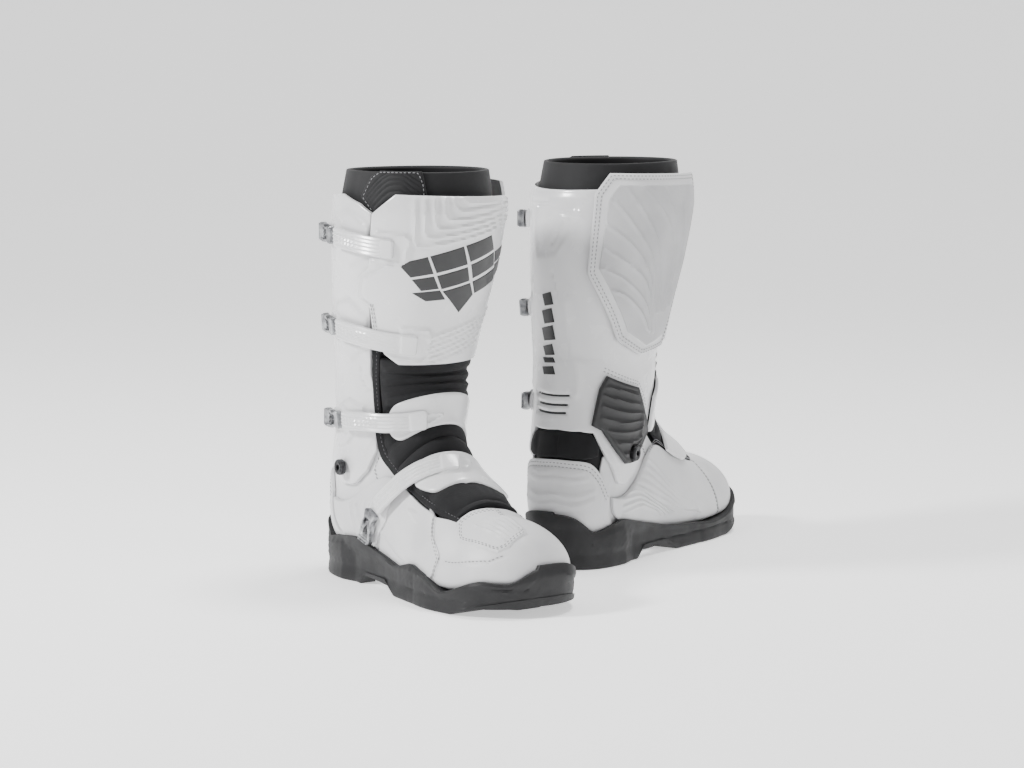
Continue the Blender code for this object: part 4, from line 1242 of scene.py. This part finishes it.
def add_instep_band():
    ribs = [(9.85, -43, 10.25, -44), (9.67, -38, 10.5, -40), (9.75, -26, 10.8, -31),
            (9.92, -5, 11.05, -4), (10.0, 18, 11.4, 18), (9.98, 34, 11.35, 32),
            (9.9, 46, 11.0, 44), (9.95, 53, 10.7, 51)]
    panel("instep_band", ribs, "foot", GLOSS, out=OVER, thick=PLATE, step=2.0, corner=2.0,
          relief=lambda s, phi, gap: framed(s, phi, STRAPS[3]))


SHIN_RIBS = [(0.62, -50, 0.72, 50), (1.0, -66, 1.0, 54), (1.95, -67, 1.95, 56.5),
             (2.15, -76, 2.15, 57.5), (2.55, -77, 2.5, 59), (2.7, -65, 2.75, 61),
             (3.2, -62, 3.2, 63), (3.5, -52, 3.5, 65), (3.68, -40, 3.66, 58)]
NESTED = [[(0.72, -37 + 6.2 * k), (1.46 - 0.16 * k, -36 + 6.0 * k),
           (1.55 - 0.15 * k, -31 + 6.0 * k), (1.50 - 0.14 * k, -15 + 5.0 * k),
           (1.14 - 0.07 * k, 50)] for k in range(6)]
RIDGES = [[(3.22 + 0.085 * k, -19 + 0.6 * k), (2.78 + 0.11 * k, 46 - 3 * k)] for k in range(6)]
STEP_EDGE = [(1.84, -47), (2.14, -71), (2.50, -72), (2.66, -62), (3.02, -59)]


def shin_relief(s, phi, gap):
    height = draw(s, phi, NESTED, 1.3, 1.7, curved=True)
    height += draw(s, phi, RIDGES, 1.5, 1.6)
    height += draw(s, phi, [STEP_EDGE], 1.1, -1.3)
    return height + sum(framed(s, phi, strap) for strap in STRAPS[:2])


# Plain angular blocks, each two ribs of (s, phi, s, phi).
SHIN_BLOCKS = [
    [(1.86, -46, 2.10, -37), (1.73, -27, 2.03, -22)],
    [(2.14, -36, 2.34, -29), (2.08, -21.5, 2.30, -17)],
    [(1.72, -25.5, 2.02, -20), (1.56, -3, 1.88, 2)],
    [(2.07, -19.5, 2.31, -15), (1.93, 2.5, 2.18, 6)],
    [(1.55, -1.5, 1.84, 4), (1.40, 21, 1.66, 27)],
    [(1.89, 5, 2.14, 8.5), (1.71, 28, 1.95, 32)],
    [(1.70, 29.5, 1.90, 33), (1.62, 46, 1.80, 49)],
    [(1.94, 34, 2.16, 37), (1.85, 49, 2.06, 50)],
    [(2.38, -35, 2.53, -25), (2.33, -16, 2.50, -11)],
    [(2.35, -14, 2.76, 2), (2.22, 7, 2.44, 12)],
    [(2.20, 9, 2.42, 13.5), (2.00, 35, 2.22, 39)],
]


def add_shin_plate():
    panel("shin_plate", SHIN_RIBS, "shin_flap", GLOSS, out=OVER, thick=PLATE, step=2.0,
          crisp=True, relief=shin_relief, corner=2.0)
    for number, ribs in enumerate(SHIN_BLOCKS, 1):
        panel(f"shin_block_{number}", ribs, "shin_flap", PRINT, out=OVER + PLATE - 0.4,
              thick=0.95, step=1.6, corner=0.35, nodes=())
    stitch("shin", [(2.62, -64), (3.15, -60)], OVER + PLATE + 0.1)
    stitch("shin", [(2.62, -62), (3.15, -58)], OVER + PLATE + 0.1)
    sew("shin", "shin_flap", GREY_THREAD)


# ---------------------------------------------------------------- buckles

def ribbon_frame(line, count):
    """Centre, normal and side direction along a line on the form."""
    at = follow(line, np.linspace(0, len(line) - 1, count))
    centre = place(at[:, 0], at[:, 1])
    normal = outward(at[:, 0], at[:, 1])
    side = np.cross(normal, np.gradient(centre, axis=0))
    return centre, normal, side / np.linalg.norm(side, axis=-1, keepdims=True)


def bar_piece(name, line, half, low, thick, body, look, nodes, profile, count=60, ends=3.0):
    """A bar along a line: profile gives its outline and face from the shares along and across."""
    centre, normal, side = ribbon_frame(line, count)
    run = np.concatenate([[0], np.cumsum(np.linalg.norm(np.diff(centre, axis=0), axis=1))])
    u = run / run[-1]
    near = np.minimum(run, run[-1] - run)
    taper = np.clip(near / ends, 0, 1)
    reach = half * (0.72 + 0.28 * np.sqrt(1 - (1 - taper) ** 2))
    across = np.concatenate([[-1, -0.97, -0.9], np.linspace(-0.8, 0.8, 17), [0.9, 0.97, 1]])
    u_grid, v_grid = np.meshgrid(u, across, indexing="ij")
    width, face = profile(u_grid, v_grid, run[-1])
    edge = np.minimum((1 - abs(v_grid)) * half, near[:, None])
    fall = np.clip(1 - edge / 1.2, 0, 1)
    height = low + thick - 1.2 * (1 - np.sqrt(1 - fall ** 2)) + face * np.clip(edge, 0, 1)
    sideways = (reach[:, None] * width * v_grid)[..., None] * side[:, None]
    top = centre[:, None] + sideways + normal[:, None] * height[..., None]
    bottom = centre[:, None] + sideways + normal[:, None] * low
    ring = ring_of(count, len(across))
    faces = closed_faces(count, len(across), ring)
    points = np.concatenate([top.reshape(-1, 3), bottom.reshape(-1, 3)])
    emit(name, points, faces, body, look, nodes)


def strap_face(u, v, length):
    """Lengthwise ribs on the strap, cross bars on its ladder half, a plain tip block."""
    ribs = 0.5 * np.cos(v * np.pi * 5) * (abs(v) < 0.9)
    bars = 0.8 * (np.sin(u * length * 2 * np.pi / 4.2) > 0.2) * (abs(v) < 0.45) * (u > 0.5)
    block = 1.0 * np.clip((0.16 - u) / 0.01, 0, 1)
    return np.ones_like(u), np.where(u < 0.17, block, ribs + bars * 0.6)


def lever_face(u, v, length):
    """Waisted lever: dark hollow with a V of bright ribs, and a curled finger end."""
    width = 1.0 - 0.22 * np.exp(-((u - 0.30) / 0.12) ** 2) + 0.05 * (u > 0.7)
    hollow = -2.6 * np.clip(1 - abs((u - 0.52) / 0.30) ** 4, 0, 1) * (abs(v) < 0.66)
    vee = 2.6 * np.exp(-((abs(v) * 0.55 - (u - 0.30)) / 0.055) ** 2) * (abs(v) < 0.66)
    vee = vee * (u > 0.28) * (u < 0.8)
    finger = 1.3 * np.clip((u - 0.86) / 0.05, 0, 1) + 0.5 * np.sin(u * 60) * (u > 0.86)
    return width, hollow + vee + finger


BASE_ROWS = 40
BASE_COLUMNS = 21
LEVER_HALF = 8.5


def add_buckle(number, strap):
    name = f"strap_{number}"
    bar_piece(name, strap["line"], strap["half"], STRAP_OFF, STRAP, name, GLOSS, (name,),
              strap_face, count=90)
    lever = f"lever_{number}"
    bar_piece(lever, strap["lever"], LEVER_HALF, LEVER_OFF, LEVER, lever, METAL, (lever,), lever_face,
              count=56)
    start, tip = np.array(strap["lever"][0]), np.array(strap["lever"][1])
    inset = [tuple(start + (tip - start) * share) for share in (0.24, 0.52, 0.8)]
    bar_piece(f"{lever}_inset", inset, 5.6, LEVER_OFF + LEVER - 2.6, 0.8, lever, STEEL, (),
              lambda u, v, length: (np.ones_like(u), 0.2 * np.cos(v * 9)), count=24, ends=1.0)
    shares = np.linspace(1.14, -0.52, BASE_ROWS)
    at = start + (tip - start) * shares[:, None]
    reach = np.interp(shares, (-0.5, 0.0, 0.45, 1.0, 1.12), (7.0, 15.5, 11.0, 8.5, 6.0))
    centre = place(at[:, 0], at[:, 1])
    normal = outward(at[:, 0], at[:, 1])
    side = np.cross(normal, np.gradient(centre, axis=0))
    side /= np.linalg.norm(side, axis=-1, keepdims=True)
    across = np.linspace(-1, 1, BASE_COLUMNS)
    rows = np.arange(BASE_ROWS)
    near = np.minimum(rows, rows[::-1])[:, None] * 1.1
    edge = np.minimum((1 - abs(across))[None] * reach[:, None], near)
    facet = np.clip(edge / 4.0, 0, 1) * 1.6 - 1.6
    step = np.where(edge > 7.0, 0.9, 0.0)
    height = BASE_OFF + BASE + facet + step
    sideways = (reach[:, None] * across)[..., None] * side[:, None]
    top = centre[:, None] + sideways + normal[:, None] * height[..., None]
    bottom = centre[:, None] + sideways + normal[:, None] * (SKIN + SHELL - 0.6)
    ring = ring_of(BASE_ROWS, BASE_COLUMNS)
    points = np.concatenate([top.reshape(-1, 3), bottom.reshape(-1, 3)])
    emit(f"buckle_base_{number}", points, closed_faces(BASE_ROWS, BASE_COLUMNS, ring), strap["base"], GLOSS,
         (f"buckle_base_{number}",))


# ---------------------------------------------------------------- carried-over nodes and the stage

def finish_nodes():
    """Materials of the CAD nodes that are shown as they are."""
    for side in SIDES:
        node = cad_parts[f"{side.name}_shank_plate"]
        node.data.materials.clear()
        node.data.materials.append(GLOSS[0])


CAMERA_AT = (-0.0266, -2.7493, 0.526)
CAMERA_PITCH = -7.25
CAMERA_LENS = 101.8


def set_stage():
    floor = bpy.data.meshes.new("floor")
    backdrop = []
    for x in (-7.0, 7.0):
        backdrop += [(x, y, z) for y, z in [(-7, 0), (3.4, 0), (4.2, 0.15), (4.8, 0.6),
                                            (5.0, 1.4), (5.0, 5.0)]]
    floor.from_pydata(backdrop, [], [(k, k + 6, k + 7, k + 1) for k in range(5)])
    floor.shade_smooth()
    floor_obj = bpy.data.objects.new("floor", floor)
    bpy.context.scene.collection.objects.link(floor_obj)
    floor.materials.append(pale_floor())
    world = bpy.data.worlds.new("studio")
    world.use_nodes = True
    world.node_tree.nodes["Background"].inputs["Color"].default_value = (1, 1, 1, 1)
    world.node_tree.nodes["Background"].inputs["Strength"].default_value = 0.3
    bpy.context.scene.world = world
    for name, at, aim, size, power in (
            ("key", (-2.2, -0.9, 1.7), (0, 0, 0.2), 0.5, 95),
            ("fill", (1.9, -1.6, 0.9), (0, 0, 0.2), 1.0, 14),
            ("top", (0.4, 0.1, 2.2), (0, 0, 0.1), 0.6, 36)):
        lamp = bpy.data.lights.new(name, "AREA")
        lamp.shape = "DISK"
        lamp.size = size
        lamp.energy = power
        obj = bpy.data.objects.new(name, lamp)
        obj.location = at
        obj.rotation_euler = (Vector(aim) - Vector(at)).to_track_quat("-Z", "Y").to_euler()
        bpy.context.scene.collection.objects.link(obj)
    camera = bpy.data.cameras.new("camera")
    camera.lens = CAMERA_LENS
    camera.sensor_width = 36
    eye = bpy.data.objects.new("camera", camera)
    eye.location = CAMERA_AT
    eye.rotation_euler = (math.radians(90 + CAMERA_PITCH), 0, 0)
    bpy.context.scene.collection.objects.link(eye)
    bpy.context.scene.camera = eye


def main():
    set_stage()
    add_liner()
    add_flap()
    add_footbed()
    add_bellows()
    add_toe_box()
    add_foot_panels()
    add_heel_counter()
    add_sole()
    add_gussets()
    add_calf_shell()
    add_rear_marks()
    add_calf_guard()
    add_ankle_guard()
    add_pivots()
    add_ankle_band()
    add_instep_band()
    add_shin_plate()
    for number, strap in enumerate(STRAPS, 1):
        add_buckle(number, strap)
    finish_nodes()


main()
